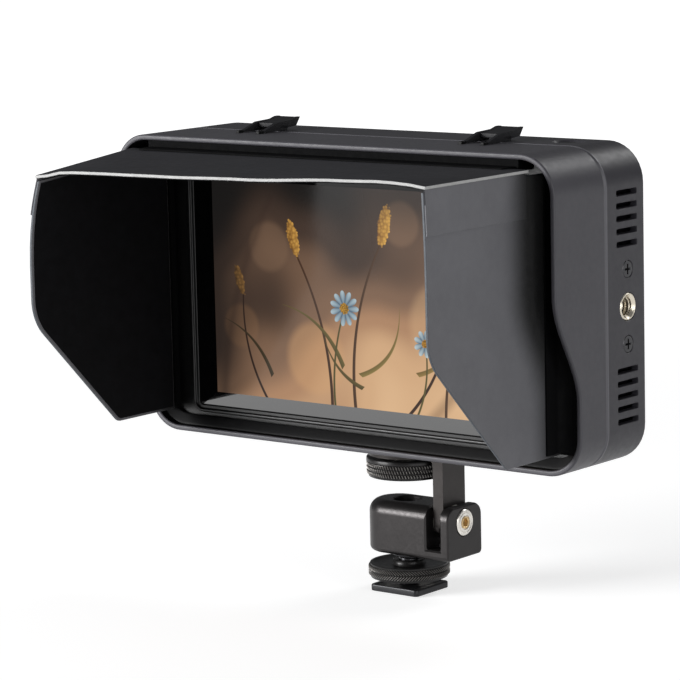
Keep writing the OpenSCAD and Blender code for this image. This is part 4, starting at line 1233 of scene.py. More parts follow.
def net(outline, along, axis, step):
    # A flat polygon cut into a net, so that it can bend
    bm = bmesh.new()
    bm.faces.new([bm.verts.new(Vector(onAxis(axis, along, a, b)) * mm) for a, b in outline])
    for way in range(3):
        if way == "XYZ".index(axis):
            continue
        values = [v.co[way] / mm for v in bm.verts]
        low, high = min(values), max(values)
        count = int((high - low) / step)
        for i in range(1, count + 1):
            at, facing = Vector((0, 0, 0)), Vector((0, 0, 0))
            at[way], facing[way] = (low + (high - low) * i / (count + 1)) * mm, 1
            bmesh.ops.bisect_plane(bm, geom=bm.verts[:] + bm.edges[:] + bm.faces[:], dist=1e-6, plane_co=at,
                                   plane_no=facing)
    return bm


def slab(name, bm, shift, bend=None):
    # Closes a net into a board by a second layer at shift, then bends it
    shift = Vector(shift) * mm
    faces, rim = bm.faces[:], [edge for edge in bm.edges if len(edge.link_faces) == 1]
    twins = {vert: bm.verts.new(vert.co + shift) for vert in bm.verts[:]}
    for face in faces:
        bm.faces.new([twins[vert] for vert in reversed(face.verts)])
    for edge in rim:
        a, b = edge.verts
        bm.faces.new((a, b, twins[b], twins[a]))
    if bend:
        for vert in bm.verts:
            vert.co = bend(vert.co)
    return addPiece(name, bm)


def edged(piece, skin, edge, axis, roundness):
    # Rounds a board's edges and gives them their own finish, a painted highlight
    piece.data.materials.append(finish[skin])
    piece.data.materials.append(finish[edge])
    for face in piece.data.polygons:
        face.material_index = 1 if abs(face.normal["XYZ".index(axis)]) < 0.6 else 0
    return bevelled(piece, roundness, 2, 50)


def sideOutline(s, inset=0.0):
    front, low = s["front"] + inset, s["sideLow"] + inset
    root, top = s["sideRoot"] - inset, s["sideTop"] - inset
    bend, tip, slant = s["bendRadius"] - inset, s["tipRadius"] - inset, s["slant"] - 0.586 * inset
    lift = 0.41421
    outline = [(root, low), (root, top), (front, top)]
    outline += arc(front + bend, low + slant + bend * lift, bend, 180, 225, 10)
    return outline + arc(front + slant + tip * lift, low + tip, tip, 225, 270, 6)


def makeSide(name, side, s):
    outer, board = side * s["sideOut"], side * s["board"]
    piece = slab(name, net(sideOutline(s), outer, "X", s["step"]), (-board, 0, 0), sideLean)
    edged(piece, "hoodSkin", "skinEdge", "X", s["edgeRound"])
    hand = "right" if side > 0 else "left"
    return finished(piece, "hood_" + hand, "hood_skin", replaces=("hood_side_" + hand,), angle=60)


def makeSideLining(name, side, s):
    inner, thick = side * (s["sideOut"] - s["board"]), side * s["lining"]
    piece = slab(name, net(sideOutline(s, s["liningInset"]), inner, "X", s["step"]), (-thick, 0, 0),
                 sideLean)
    hand = "right" if side > 0 else "left"
    return finished(piece, "hood_" + hand, "flock", replaces=("side_lining_" + hand,), angle=60)


def makeTop(s):
    half, front, root, top = s["topOut"], s["front"], s["topRoot"], s["topZ"]
    outline = [(-half, front), (half, front), (half, root), (-half, root)]
    board = slab("topBoard", net(outline, top, "Z", s["step"]), (0, 0, -s["board"]), topSag)
    # The top board takes the darker cloth as painted shade, and its edges a painted highlight
    edged(board, "topSkin", "boardEdge", "Z", s["edgeRound"])
    pieces = [board]
    for side in (-1, 1):
        inner = side * (s["sideOut"] + 0.08)
        strip = [(front, s["stripLow"]), (s["stripRoot"], s["stripLow"]), (s["stripRoot"], top - 0.9),
                 (front, top - 0.9)]
        fall = slab("strip", net(strip, inner, "X", s["step"]), (side * s["stripThick"], 0, 0), sideLean)
        bevelled(fall, 0.15, 2, 50)
        pieces.append(fall)
    piece = joined("hoodTop", pieces)
    for name in ("topSkin", "boardEdge", "hoodSkin"):
        piece.data.materials.append(finish[name])
    for face in piece.data.polygons:
        onStrip = face.center.z < (s["topZ"] - 6) * mm or abs(face.normal.x) > 0.9
        if face.material_index == 0 and onStrip:
            face.material_index = 2
    return finished(piece, "hood_top", "hood_skin", replaces=("hood_top",), angle=60)


def makeTopLining(s):
    half, front, root, low = s["topLiningOut"], s["front"] + 1.0, s["topRoot"] - 1.0, s["topZ"] - s["board"]
    outline = [(-half, front), (half, front), (half, root), (-half, root)]
    piece = slab("topLining", net(outline, low, "Z", s["step"]), (0, 0, -s["lining"]), topSag)
    return finished(piece, "hood_top", "flock", replaces=("top_lining",), angle=60)


def ribbon(name, points, thick, low, high, axis, steps):
    # A thin band along points in the plane across the axis, from low to high along it
    sides = []
    for i, point in enumerate(points):
        near, far = Vector(points[max(i - 1, 0)]), Vector(points[min(i + 1, len(points) - 1)])
        along = (far - near).normalized()
        sides.append((Vector(point), Vector((-along.y, along.x)) * thick / 2))
    outline = [p + n for p, n in sides] + [p - n for p, n in reversed(sides)]
    rings = [[onAxis(axis, low + (high - low) * i / steps, a, b) for a,
              b in outline] for i in range(steps + 1)]
    return loft(name, rings)


def hinged(piece):
    # The near-black finish is painted shade in the gap at the frame
    piece.data.materials.append(finish["hingeSkin"])
    smoothed(piece, 60)
    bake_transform(piece)
    return piece


def makeHinges(s):
    low, high = s["sideLow"] + 0.8, s["sideTop"] - 1.2
    bend = arc(79.2, -27.9, 3.6, 100, 168, 6)
    path = [(81.9, -23.5)] + bend + [(75.9, -29.5), (75.95, -32.5)]
    for side, body in ((1, "hood_right"), (-1, "hood_left")):
        band = ribbon("hinge" + ("Right" if side > 0 else "Left"), [(side * x, y) for x, y in path], 0.5,
                      low, high, "Z", 24)
        hinged(band)
    top = [(-44.0, 140.5), (-41.5, 140.55), (-40.2, 140.62), (-39.4, 140.62), (-38.2, 140.55),
           (-33.0, 140.5)]
    band = ribbon("hingeTop", top, 0.4, -69.5, 69.5, "X", 24)
    hinged(band)


makeSide("sideBoardRight", 1, hood)
makeSide("sideBoardLeft", -1, hood)
makeSideLining("sideLiningRight", 1, hood)
makeSideLining("sideLiningLeft", -1, hood)
makeTop(hood)
makeTopLining(hood)
makeHinges(hood)
print("hood boards made")


# Knurled wheels
knurl = {
    "radius": 12.9,
    "bevel": 0.7,
    "steps": 688,
    "rows": 22,
    "teeth": 86,
    "depth": 0.55,
    "lockLow": 4.4,
    "lockHigh": 8.9,
    "lockHub": 5.0,
    "lockHubTop": 9.9,
    "knobLow": 37.0,
    "knobHigh": 43.2,
    "knobDish": 5.0,
    "knobDishDepth": 1.2,
    "bore": 3.24,
}


def knurlTree():
    # Presses slanting teeth into a wheel's rim between two heights
    tree, given = newTree("knurlPress", {
        "Wheel": ("Object", None), "Radius": ("Float", 0.0129), "Low": ("Float", 0.0),
        "High": ("Float", 0.004),
        "Teeth": ("Float", 86.0), "Depth": ("Float", 0.0004), "Rows": ("Float", 2.0),
        "Turns Per Metre": ("Float", 0.0),
        "Zigzag": ("Float", 1.0), "Material": ("Material", None)})
    wheel = partIn(tree, given["Wheel"])
    position = place(tree, "GeometryNodeInputPosition").outputs[0]
    parts = axesOf(tree, position)
    flat = flattened(tree, parts)
    reach = lengthOf(tree, flat)
    turn = calc(tree, "DIVIDE", calc(tree, "ARCTAN2", parts[1], parts[0]), 2 * pi)
    across = ranged(tree, parts[2], given["Low"], given["High"], 0, 1)
    rowPart = calc(tree, "FRACT", times(tree, across, given["Rows"]))
    folded = calc(tree, "ABSOLUTE", minus(tree, times(tree, across, 2), 1))
    folded = times(tree, folded, given["Zigzag"])
    straight = times(tree, across, minus(tree, 1, given["Zigzag"]))
    tall = minus(tree, given["High"], given["Low"])
    slant = times(tree, plus(tree, folded, straight), times(tree, tall, given["Turns Per Metre"]))
    phase = calc(tree, "FRACT", plus(tree, times(tree, turn, given["Teeth"]), slant))
    tooth = calc(tree, "ABSOLUTE", minus(tree, times(tree, phase, 2), 1))
    tooth = ranged(tree, tooth, 0.2, 0.85, 0, 1)
    middle = minus(tree, 1, calc(tree, "ABSOLUTE", minus(tree, times(tree, rowPart, 2), 1)))
    tooth = times(tree, tooth, ranged(tree, middle, 0.04, 0.3, 0, 1))
    deep = times(tree, minus(tree, tooth, 1), given["Depth"])
    push = scaled(tree, vectorMath(tree, "NORMALIZE", flat), deep)
    onRim = calc(tree, "GREATER_THAN", reach, minus(tree, given["Radius"], 0.00002))
    inside = times(tree, calc(tree, "GREATER_THAN", parts[2], given["Low"]),
                   calc(tree, "LESS_THAN", parts[2], given["High"]))
    pressed = place(tree, "GeometryNodeSetPosition", {
        "Geometry": wheel, "Selection": times(tree, onRim, inside), "Offset": push}).outputs[0]
    closeTree(tree, pressed, given["Material"])
    return tree


knurlPress = knurlTree()


def pressedWheel(name, profile, s, low, high, rows, turns, zigzag):
    blank = lathe("blank", profile, steps=s["steps"], loop=True)
    wheel = grown(name, knurlPress, Wheel=blank, Radius=s["radius"] * mm, Low=low * mm, High=high * mm,
                  Teeth=float(s["teeth"]),
                  Depth=s["depth"] * mm, Rows=float(rows), Zigzag=float(zigzag),
                  Material=finish["wheelBlack"],
                  **{"Turns Per Metre": turns / mm})
    bpy.data.objects.remove(blank)
    return outward(wheel)


def rimPoints(s, low, high):
    return [(s["radius"], low + (high - low) * i / s["rows"]) for i in range(s["rows"] + 1)]


def makeLockWheel(s):
    low, high, r, b = s["lockLow"], s["lockHigh"], s["radius"], s["bevel"]
    hub, top = s["lockHub"], s["lockHubTop"]
    profile = [(s["bore"] + 0.3, low), (r - b - 0.2, low), (r - b, low + 0.08)]
    profile += rimPoints(s, low + b, high - b * 0.6)
    profile += [(r - 0.5, high), (r - 1.3, high), (r - 1.9, high - 0.35), (hub + 1.6, high - 0.75),
                (hub + 0.5, high - 0.6),
                (hub + 0.12, high - 0.1), (hub, high + 0.25), (hub, top - 0.25), (hub - 0.25, top),
                (s["bore"] + 0.3, top),
                (s["bore"], top - 0.3), (s["bore"], low + 0.3)]
    wheel = pressedWheel("lockWheel", profile, s, low + b - 0.01, high - b * 0.6 + 0.01, 2, 0.62, 1)
    return finished(wheel, "lock_wheel", "dark_alloy", "wheelBlack", replaces=("lock_wheel",), angle=28)


def makeThumbKnob(s):
    low, high, r, b, dish = s["knobLow"], s["knobHigh"], s["radius"], s["bevel"], s["knobDish"]
    floor = low + s["knobDishDepth"]
    rim = high - (high - low) * 0.24
    profile = [(1.2, floor), (dish - 0.2, floor), (dish, floor - 0.2), (dish, low + 0.2),
               (dish + 0.25, low), (r - b, low)]
    profile += rimPoints(s, low + b, rim)
    profile += [(r + 0.0, rim + 0.12), (r, high - 0.5), (r - 0.15, high - 0.2), (r - 0.5, high),
                (s["bore"] + 0.3, high),
                (s["bore"], high - 0.3), (s["bore"], floor + 1.4), (1.2, floor + 1.4)]
    wheel = pressedWheel("thumbKnob", profile, s, low + b - 0.01, rim + 0.01, 3, 0.42, 0)
    return finished(wheel, "thumb_knob", "dark_alloy", "wheelBlack", replaces=("thumb_knob",), angle=28)


makeLockWheel(knurl)
makeThumbKnob(knurl)
print("wheels made")


# Shoe foot, stud and washers
foot = {
    "width": 18.6,
    "length": 17.4,
    "thick": 2.1,
    "corner": 1.5,
    "topBevel": 0.45,
    "lowBevel": 0.25,
    "studRadius": 3.17,
    "threadRadius": 2.75,
    "collarRadius": 5.2,
    "collarLow": 11.25,
    "collarHigh": 12.5,
    "headLow": 24.0,
    "headHigh": 27.2,
    "headRadius": 4.5,
    "hex": 2.0,
}


def footRing(s, z, inset):
    return [(a, b, z) for a, b in roundRect(s["width"], s["length"], s["corner"], inset)]


def makeFoot(s):
    thick, low, top = s["thick"], s["lowBevel"], s["topBevel"]
    rings = [footRing(s, 0, low), footRing(s, low * 0.3, low * 0.3), footRing(s, low, 0),
             footRing(s, thick - top, 0),
             footRing(s, thick - top * 0.35, top * 0.3), footRing(s, thick, top)]
    plate = loft("footPlate", rings)
    for side in (-1, 1):
        groove = prism("groove", [(side * 7.1 - 0.25, thick - 0.18), (side * 7.1 + 0.25, thick - 0.18),
                                  (side * 7.1 + 0.25, thick + 1), (side * 7.1 - 0.25, thick + 1)], -20, 20,
                                  "Y")
        plate = carve(plate, groove)
    return finished(plate, "shoe_base", "shoe_black", replaces=("foot_plate",))


def spiralTree():
    # Thread ridge of one pitch, wound from a low height up
    tree, given = newTree("threadRidge", {
        "Radius": ("Float", 0.003), "Height": ("Float", 0.006), "Turns": ("Float", 5.0),
        "Ridge": ("Float", 0.0004),
        "Place": ("Vector", (0, 0, 0)), "Material": ("Material", None)})
    coil = place(tree, "GeometryNodeCurveSpiral", {
        "Resolution": 40, "Rotations": given["Turns"], "Start Radius": given["Radius"],
        "End Radius": given["Radius"],
        "Height": given["Height"]}).outputs[0]
    cut = place(tree, "GeometryNodeCurvePrimitiveCircle", {"Resolution": 6, "Radius": given["Ridge"]},
                mode="RADIUS").outputs[0]
    ridge = place(tree, "GeometryNodeCurveToMesh",
                  {"Curve": coil, "Profile Curve": cut, "Fill Caps": True}).outputs[0]
    put = place(tree, "GeometryNodeTransform",
                {"Geometry": ridge, "Translation": given["Place"]}).outputs[0]
    closeTree(tree, put, given["Material"])
    return tree


threadRidge = spiralTree()


def thread(radius, tall, ridge, low, pitch=1.27):
    # The ridge takes the finish of the piece that it is joined to
    made = outward(grown("threadRidge", threadRidge, Radius=radius * mm, Height=tall * mm,
                         Turns=tall / pitch,
                         Ridge=ridge * mm, Place=(0, 0, low * mm), Material=None))
    made.data.materials.clear()
    return made


def makeStud(s):
    r, core = s["studRadius"], s["threadRadius"]
    shaft = lathe("shaft", [(core - 0.5, 0.6), (core, 1.0), (core, s["collarLow"])], steps=48)
    collar = lathe("collar", [(r, s["collarLow"]), (s["collarRadius"] - 0.2, s["collarLow"]),
                              (s["collarRadius"], s["collarLow"] + 0.2),
                              (s["collarRadius"], s["collarLow"] + 0.5),
                              (s["collarRadius"] - 0.14, s["collarLow"] + 0.58),
                              (s["collarRadius"] - 0.14, s["collarLow"] + 0.68),
                              (s["collarRadius"], s["collarLow"] + 0.76),
                              (s["collarRadius"], s["collarHigh"] - 0.2),
                              (s["collarRadius"] - 0.2, s["collarHigh"]), (r, s["collarHigh"])], steps=64)
    neck = lathe("neck", [(r, s["collarHigh"]), (r, s["headLow"])], steps=48)
    head = lathe("head", [(r, s["headLow"]), (s["headRadius"], s["headLow"]),
                          (s["headRadius"], s["headHigh"] - 0.3),
                          (s["headRadius"] - 0.3, s["headHigh"]), (s["hex"] + 0.5, s["headHigh"]),
                          (s["hex"] + 0.35, s["headHigh"] - 0.1)], steps=64)
    socket = lathe("socket", [(s["hex"], s["headHigh"] - 2.2), (s["hex"], s["headHigh"] + 1)], steps=6)
    head = carve(head, socket)
    ridge = thread(core + 0.12, s["collarLow"] - 2.3, 0.42, 2.2)
    piece = joined("studScrew", [shaft, collar, neck, head, ridge])
    return finished(piece, "shoe_base", "dark_steel", replaces=("stud_screw",))


def makeWasher(name, body, radius, hole, low, high, bevel=0.12):
    profile = [(hole, low), (radius - bevel, low), (radius, low + bevel), (radius, high - bevel),
               (radius - bevel, high),
               (hole, high)]
    return finished(lathe(name, profile, loop=True), body, "bright_steel", replaces=(body,))


makeFoot(foot)
makeStud(foot)
makeWasher("lockWasher", "lock_washer", 8, 3.24, 3.85, 4.35)
makeWasher("knobWasher", "knob_washer", 7, 3.24, 43.25, 43.75)
print("shoe made")


# Yoke, pivot and arm
yoke = {
    "low": 12.6,
    "high": 29.2,
    "half": 9.1,
    "left": -13.0,
    "right": 22.0,
    "topRadius": 4.0,
    "lowRadius": 1.5,
    "endChamfer": 0.6,
    "slot": (13.4, 18.9),
    "slotFloor": 15.8,
    "slotChamfer": 0.5,
    "holeRadius": 4.57,
    "boreRadius": 3.24,
    "pivotZ": 23.9,
    "pivotBore": 2.55,
    "headSeat": 4.3,
    "headDepth": 1.5,
}


def yokeProfile(s, inset=0.0):
    half, low, high = s["half"] - inset, s["low"] + inset, s["high"] - inset
    t, l = s["topRadius"] - inset, max(s["lowRadius"] - inset, 0.3)
    return (arc(half - l, low + l, l, -90, 0, 6) + arc(half - t, high - t, t, 0, 90, 12)
            + arc(-half + t, high - t, t, 90, 180, 12) + arc(-half + l, low + l, l, 180, 270, 6))


def makeYoke(s):
    endX, c = s["left"] + s["half"], s["endChamfer"]
    rings = [[(x, a, b) for a, b in yokeProfile(s, inset)] for x, inset in
             ((endX, 0), (s["right"] - c, 0), (s["right"] - c * 0.35, c * 0.3), (s["right"], c))]
    block = loft("yokeBlock", rings)
    half, t, l = s["half"], s["topRadius"], s["lowRadius"]
    side = [(0.001, s["low"])] + arc(half - l, s["low"] + l, l, -90, 0, 6) + arc(half - t, s["high"] - t, t,
                                                                                 0, 90, 12)
    side.append((0.001, s["high"]))
    end = lathe("yokeEnd", side, "Z", (endX, 0, 0), 96)
    block = carve(block, end, mode="UNION")
    (x0, x1), f, k = s["slot"], s["slotFloor"], s["slotChamfer"]
    wide = half + 2
    gap = [(x0, f + 0.4), (x0 + 0.4, f), (x1 - 0.4, f), (x1, f + 0.4), (x1, s["high"] - k),
           (x1 + k, s["high"]),
           (x1 + k, s["high"] + 2), (x0 - k, s["high"] + 2), (x0 - k, s["high"]), (x0, s["high"] - k)]
    cutters = [prism("gap", gap, -wide, wide, "Y")]
    for sign in (-1, 1):
        rings = []
        for y, grow in ((half - k, 0), (half, k), (half + 1, k)):
            rings.append([(a, sign * y, b) for a, b in ((x0 - grow, f - grow), (x1 + grow, f - grow),
                                                        (x1 + grow, s["high"] + 2),
                                                        (x0 - grow, s["high"] + 2))])
        cutters.append(loft("gapMouth", rings))
    r = s["holeRadius"]
    cutters.append(lathe("headHole", [(r, 23.9), (r, s["high"] - 0.35), (r + 0.35, s["high"]),
                                      (r + 0.35, s["high"] + 1)], steps=64))
    cutters.append(lathe("studHole", [(s["boreRadius"], s["low"] - 1), (s["boreRadius"], 24.2)], steps=48))
    pivotAt = (0, 0, s["pivotZ"])
    cutters.append(lathe("pivotHole", [(s["pivotBore"], 5.4), (s["pivotBore"], s["right"] + 1)], "X",
                         pivotAt, 48))
    seat = s["headSeat"]
    cutters.append(lathe("headSeat", [(seat, s["right"] - s["headDepth"]), (seat, s["right"] - 0.3),
                                      (seat + 0.3, s["right"]),
                                      (seat + 0.3, s["right"] + 1)], "X", pivotAt, 64))
    block = carve(block, *cutters)
    return finished(block, "yoke", "dark_alloy", "yokeBlack", replaces=("yoke_block",), angle=28)


pivot = {
    "x": (6.4, 20.6),
    "radius": 2.5,
    "headRadius": 4.15,
    "face": 22.35,
    "z": 23.9,
    "hex": 1.45,
    "hexDepth": 1.1,
    "boss": 1.95,
}


def makePivot(s):
    at, face, r = (0, 0, s["z"]), s["face"], s["headRadius"]
    body = lathe("pivotBody", [(s["radius"] - 0.3, s["x"][0]), (s["radius"], s["x"][0] + 0.3),
                               (s["radius"], s["x"][1]), (r, s["x"][1]),
                               (r, face - 0.3), (r - 0.25, face - 0.05), (r - 0.5, face), (r - 0.8, face),
                               (r - 0.9, face - 0.16),
                               (r - 1.05, face - 0.16), (r - 1.15, face), (s["boss"] + 0.35, face - 0.02),
                               (s["boss"] + 0.25, face - 0.3), (s["boss"], face - 0.3),
                               (s["boss"], face - 0.04),
                               (s["boss"] - 0.12, face), (s["hex"] + 0.2, face)], "X", at, 96)
    socket = lathe("pivotSocket", [(s["hex"], face - s["hexDepth"]), (s["hex"], face - 0.15),
                                   (s["hex"] + 0.15, face + 0.02),
                                   (s["hex"] + 0.15, face + 1)], "X", at, 6)
    body = carve(body, socket)
    body.name = "pivotScrew"
    body.data.materials.append(finish["brightSteel"])
    body.data.materials.append(finish["brass"])
    for side in body.data.polygons:
        reach = Vector((side.center.y / mm, side.center.z / mm - s["z"])).length
        outwards = side.center.x / mm > face - s["hexDepth"] - 0.1
        side.material_index = 1 if reach < s["boss"] + 0.02 and outwards else 0
    finished(body, "yoke", "bright_steel", replaces=("pivot_screw",))
    washers = []
    for x in (13.45, 18.1):
        profile = [(2.57, x), (4.95, x), (5.1, x + 0.15), (5.1, x + 0.6), (4.95, x + 0.75),
                   (2.57, x + 0.75)]
        washers.append(lathe("washer", profile, "X", at, 64, loop=True))
    return finished(joined("pivotWashers", washers), "yoke", "nylon", replaces=("pivot_washers",))


arm = {
    "x": (14.25, 18.05),
    "half": 5.8,
    "pivotZ": 23.9,
    "plateLow": 43.8,
    "plateHigh": 47.6,
    "plateRadius": 12.2,
    "bevel": 0.5,
    "innerRadius": 2.0,
    "bore": 2.57,
    "screwBore": 3.42,
    "padThick": 0.55,
}


def makeArm(s):
    (x0, x1), half, z, low, high = s["x"], s["half"], s["pivotZ"], s["plateLow"], s["plateHigh"]
    roundEnd = arc(0, z, half, 180, 360, 28)
    upright = prism("upright", roundEnd + [(half, high), (-half, high)], x0, x1, "X")
    r = s["innerRadius"]
    inner = [(x0 + 0.5, low - r), (x0 + 0.5, low + 0.5), (x0 - r, low + 0.5)] + arc(x0 - r, low - r, r, 90,
                                                                                    0, 8)
    fillet = prism("fillet", inner, -half, half, "Y")
    spot = s["plateRadius"]
    edgeAt = degrees(atan2(half, (spot ** 2 - half ** 2) ** 0.5))
    outline = arc(0, 0, spot, edgeAt, 360 - edgeAt, 72) + [(x1, -half), (x1, half)]
    plate = prism("plate", outline, low, high, "Z")
    whole = carve(upright, plate, fillet, mode="UNION")
    whole = bevelled(whole, s["bevel"], 3, 40)
    bore = lathe("bore", [(s["bore"] + 0.3, x0 - 1), (s["bore"] + 0.3, x0), (s["bore"], x0 + 0.3),
                          (s["bore"], x1 - 0.3),
                          (s["bore"] + 0.3, x1), (s["bore"] + 0.3, x1 + 1)], "X", (0, 0, z), 48)
    hole = lathe("hole", [(s["screwBore"], low - 1), (s["screwBore"], high + 1)], steps=48)
    whole = carve(whole, bore, hole)
    whole.name = "tiltArm"
    finished(whole, "arm", "dark_alloy", "armBlack", replaces=("tilt_arm",), angle=28)
    padOutline = arc(0, 0, spot - 0.1, edgeAt, 360 - edgeAt, 72) + [(x1 - 0.1, -half + 0.1),
                                                                    (x1 - 0.1, half - 0.1)]
    pad = bevelled(prism("armPad", padOutline, high, high + s["padThick"], "Z"), 0.12, 2, 40)
    pad = carve(pad, lathe("hole", [(s["screwBore"], high - 1), (s["screwBore"], high + 2)], steps=48))
    pad.name = "armPad"
    return finished(pad, "arm", "rubber_pad", replaces=("arm_pad",))


mountScrew = {
    "core": 2.72,
    "low": 39.05,
    "high": 51.78,
    "threadRadius": 2.8,
    "threadLow": 39.6,
    "threadLong": 11.2,
    "ridge": 0.4,
}


def makeMountScrew(s):
    core, low, high = s["core"], s["low"], s["high"]
    shaft = lathe("core", [(core - 0.32, low), (core, low + 0.35), (core, high - 0.58),
                           (core - 0.52, high)], steps=48)
    ridge = thread(s["threadRadius"], s["threadLong"], s["ridge"], s["threadLow"])
    whole = joined("mountScrew", [shaft, ridge])
    return finished(whole, "thumb_knob", "bright_steel", "socketMetal", replaces=("mount_screw",))


makeYoke(yoke)
makePivot(pivot)
makeArm(arm)
makeMountScrew(mountScrew)
print("mount made")


# Threaded inserts and cross-head screws
insert = {
    "radius": 4.15,
    "bore": 2.95,
    "mouth": 3.5,
    "length": 7.0,
    "flangeLong": 30.4,
    "flangeWide": 10.0,
    "flangeThick": 2.9,
    "reach": 11.2,
    "y": -1.0,
}
screw = {
    "headRadius": 2.6,
    "shank": 1.4,
    "length": 5.6,
    "sunk": 0.12,
    "arm": 1.62,
    "slot": 0.36,
    "depth": 1.0,
}


def makeInsert(s):
    # Looks along Z from the origin, with its screws along X
    r, bore, mouth = s["radius"], s["bore"], s["mouth"]
    body = lathe("body", [(bore, -s["length"]), (r, -s["length"]), (r, -0.25), (r - 0.22, -0.02),
                          (mouth + 0.12, -0.02), (mouth, -0.12),
                          (bore + 0.1, -0.75), (bore, -0.85)], steps=96, loop=True)
    outline = roundRect(s["flangeLong"], s["flangeWide"], 2)
    top = -2.25
    flange = prism("flange", outline, top - s["flangeThick"], top, "Z")
    hole = lathe("hole", [(r - 0.05, -9), (r - 0.05, 0)], steps=64)
    flange = carve(flange, hole)
    for sign in (-1, 1):
        flange = carve(flange, lathe("hole", [(1.5, -9), (1.5, 0)], centre=(sign * s["reach"], 0, 0),
                                     steps=32))
    ridge = thread(bore + 0.16, s["length"] - 1.3, 0.4, 0.4 - s["length"])
    return joined("insert", [body, flange, ridge])


def makeScrew(s):
    # Pan of the head lies just under the origin and looks along Z
    r, top = s["headRadius"], -s["sunk"]
    head = lathe("head", [(s["shank"] - 0.1, -s["length"]), (s["shank"], -s["length"] + 0.2),
                          (s["shank"], top - 1.5), (r - 0.25, top - 0.42),
                          (r, top - 0.3), (r, top - 0.12), (r - 0.16, top), (1.9, top + 0.03),
                          (0.9, top + 0.04)], steps=48)
    half, armLong, deep = s["slot"], s["arm"], s["depth"]
    for turn in (0, 1):
        rings = []
        for z, shrink in ((top - deep, 0.45), (top + 0.2, 0)):
            a, b = armLong - shrink, half - shrink * 0.3
            corners = [(-a, -b), (a, -b), (a, b), (-a, b)]
            rings.append([(x, y, z) if turn == 0 else (-y, x, z) for x, y in corners])
        head = carve(head, loft("cross", rings))
    return head


def posed(piece, matrix, at):
    # A copy of a piece turned and put in place
    copy = bpy.data.objects.new(piece.name, piece.data.copy())
    bpy.context.scene.collection.objects.link(copy)
    copy.data.transform(Matrix.Translation(Vector(at) * mm) @ matrix)
    return copy


def copiesTree():
    # One part copied to the four corners of a rectangle, and turned
    tree, given = newTree("partAtCorners", {
        "Part": ("Object", None), "Across": ("Float", 0.1), "Up": ("Float", 0.1),
        "Centre": ("Vector", (0, 0, 0)),
        "Lean": ("Vector", (0, 0, 0)), "Material": ("Material", None)})
    grid = place(tree, "GeometryNodeMeshGrid", {
        "Size X": given["Across"], "Size Y": given["Up"], "Vertices X": 2, "Vertices Y": 2}).outputs[0]
    stood = place(tree, "GeometryNodeTransform",
                  {"Geometry": grid, "Translation": given["Centre"], "Rotation": (pi / 2, 0, 0)}).outputs[0]
    part = partIn(tree, given["Part"])
    turnedBy = place(tree, "FunctionNodeEulerToRotation", {0: given["Lean"]}).outputs[0]
    copies = place(tree, "GeometryNodeInstanceOnPoints",
                   {"Points": stood, "Instance": part, "Rotation": turnedBy}).outputs[0]
    closeTree(tree, copies, given["Material"])
    return tree


partAtCorners = copiesTree()


def atCorners(name, part, across, up, y):
    # The screws at the back look along Y
    made = grown(name, partAtCorners, Part=part, Across=2 * across * mm, Up=2 * up * mm,
                 Centre=(0, y * mm, midZ * mm),
                 Lean=(-pi / 2, 0, 0), Material=finish["darkSteel"])
    bpy.data.objects.remove(part)
    return made


toRight = Matrix.Rotation(pi / 2, 4, "Y")
toBottom = Matrix.Rotation(pi, 4, "X")
plainInsert = makeInsert(insert)
for name, matrix, at in (("side", toRight, (casingHigh.x, insert["y"], midZ)),
                         ("bottom", toBottom, (0, 0, casingLow.z))):
    finished(posed(plainInsert, matrix, at), "monitor", "insert_metal", replaces=(name + "_insert",),
             angle=28).name = name + "Insert"
bpy.data.objects.remove(plainInsert)

plainScrew = makeScrew(screw)
pairs = []
for matrix, at, way in ((toRight, (casingHigh.x, insert["y"], midZ), (0, 0, 1)),
                        (toBottom, (0, 0, casingLow.z), (1, 0, 0))):
    turnedScrew = posed(plainScrew, matrix, (0, 0, 0))
    start = Vector(at) - Vector(way) * insert["reach"]
    pairs.append(row("screws", turnedScrew, 2, start, Vector(way) * 2 * insert["reach"],
                     finish["darkSteel"]))
    bpy.data.objects.remove(turnedScrew)
finished(joined("insertScrews", pairs), "monitor", "dark_steel", replaces=("insert_screws",))
bpy.data.objects.remove(plainScrew)

longScrew = dict(screw, headRadius=2.5, length=26.0)
backScrews = atCorners("caseScrews", makeScrew(longScrew), *casing["backScrew"], casingHigh.y)
finished(backScrews, "monitor", "dark_steel", replaces=("case_screws",))
print("inserts and screws made")


# Power button
button = {
    "radius": 2.9,
    "top": 144.1,
    "low": 141.3,
    "flange": 3.8,
    "flangeThick": 1.0,
    "dish": 0.3,
    "place": (63.7, -1.6),
}


def makeButton(s):
    r, top = s["radius"], s["top"]
    profile = [(s["flange"], s["low"]), (s["flange"], s["low"] + s["flangeThick"]),
               (r, s["low"] + s["flangeThick"]), (r, top - 0.35),
               (r - 0.1, top - 0.12), (r - 0.32, top), (r - 0.7, top - 0.06),
               (r - 1.6, top - s["dish"] * 0.8), (0.6, top - s["dish"])]
    cap = lathe("powerButton", profile, "Z", s["place"] + (0,), 64)
    return finished(cap, "power_button", "button_black", replaces=("power_button",))


makeButton(button)


# Battery slide plate
plate = {
    "width": 41.0,
    "height": 72.0,
    "front": 8.65,
    "back": 11.05,
    "corner": 2.0,
    "bevel": 0.4,
    "hookZ": (-22.0, 12.0),
    "hookLong": 9.0,
    "hookX": 19.5,
    "hookWide": 2.0,
    "hookOut": 1.3,
    "hookStem": 1.6,
    "hookThick": 1.1,
    "screwX": 12.0,
    "screwZ": 30.0,
    "contactX": 9.0,
    "contactZ": -14.0,
    "contactLong": 10.0,
    "contactWide": 2.4,
    "releaseZ": -27.0,
    "releaseRadius": 4.0,
    "releaseOut": 1.4,
}


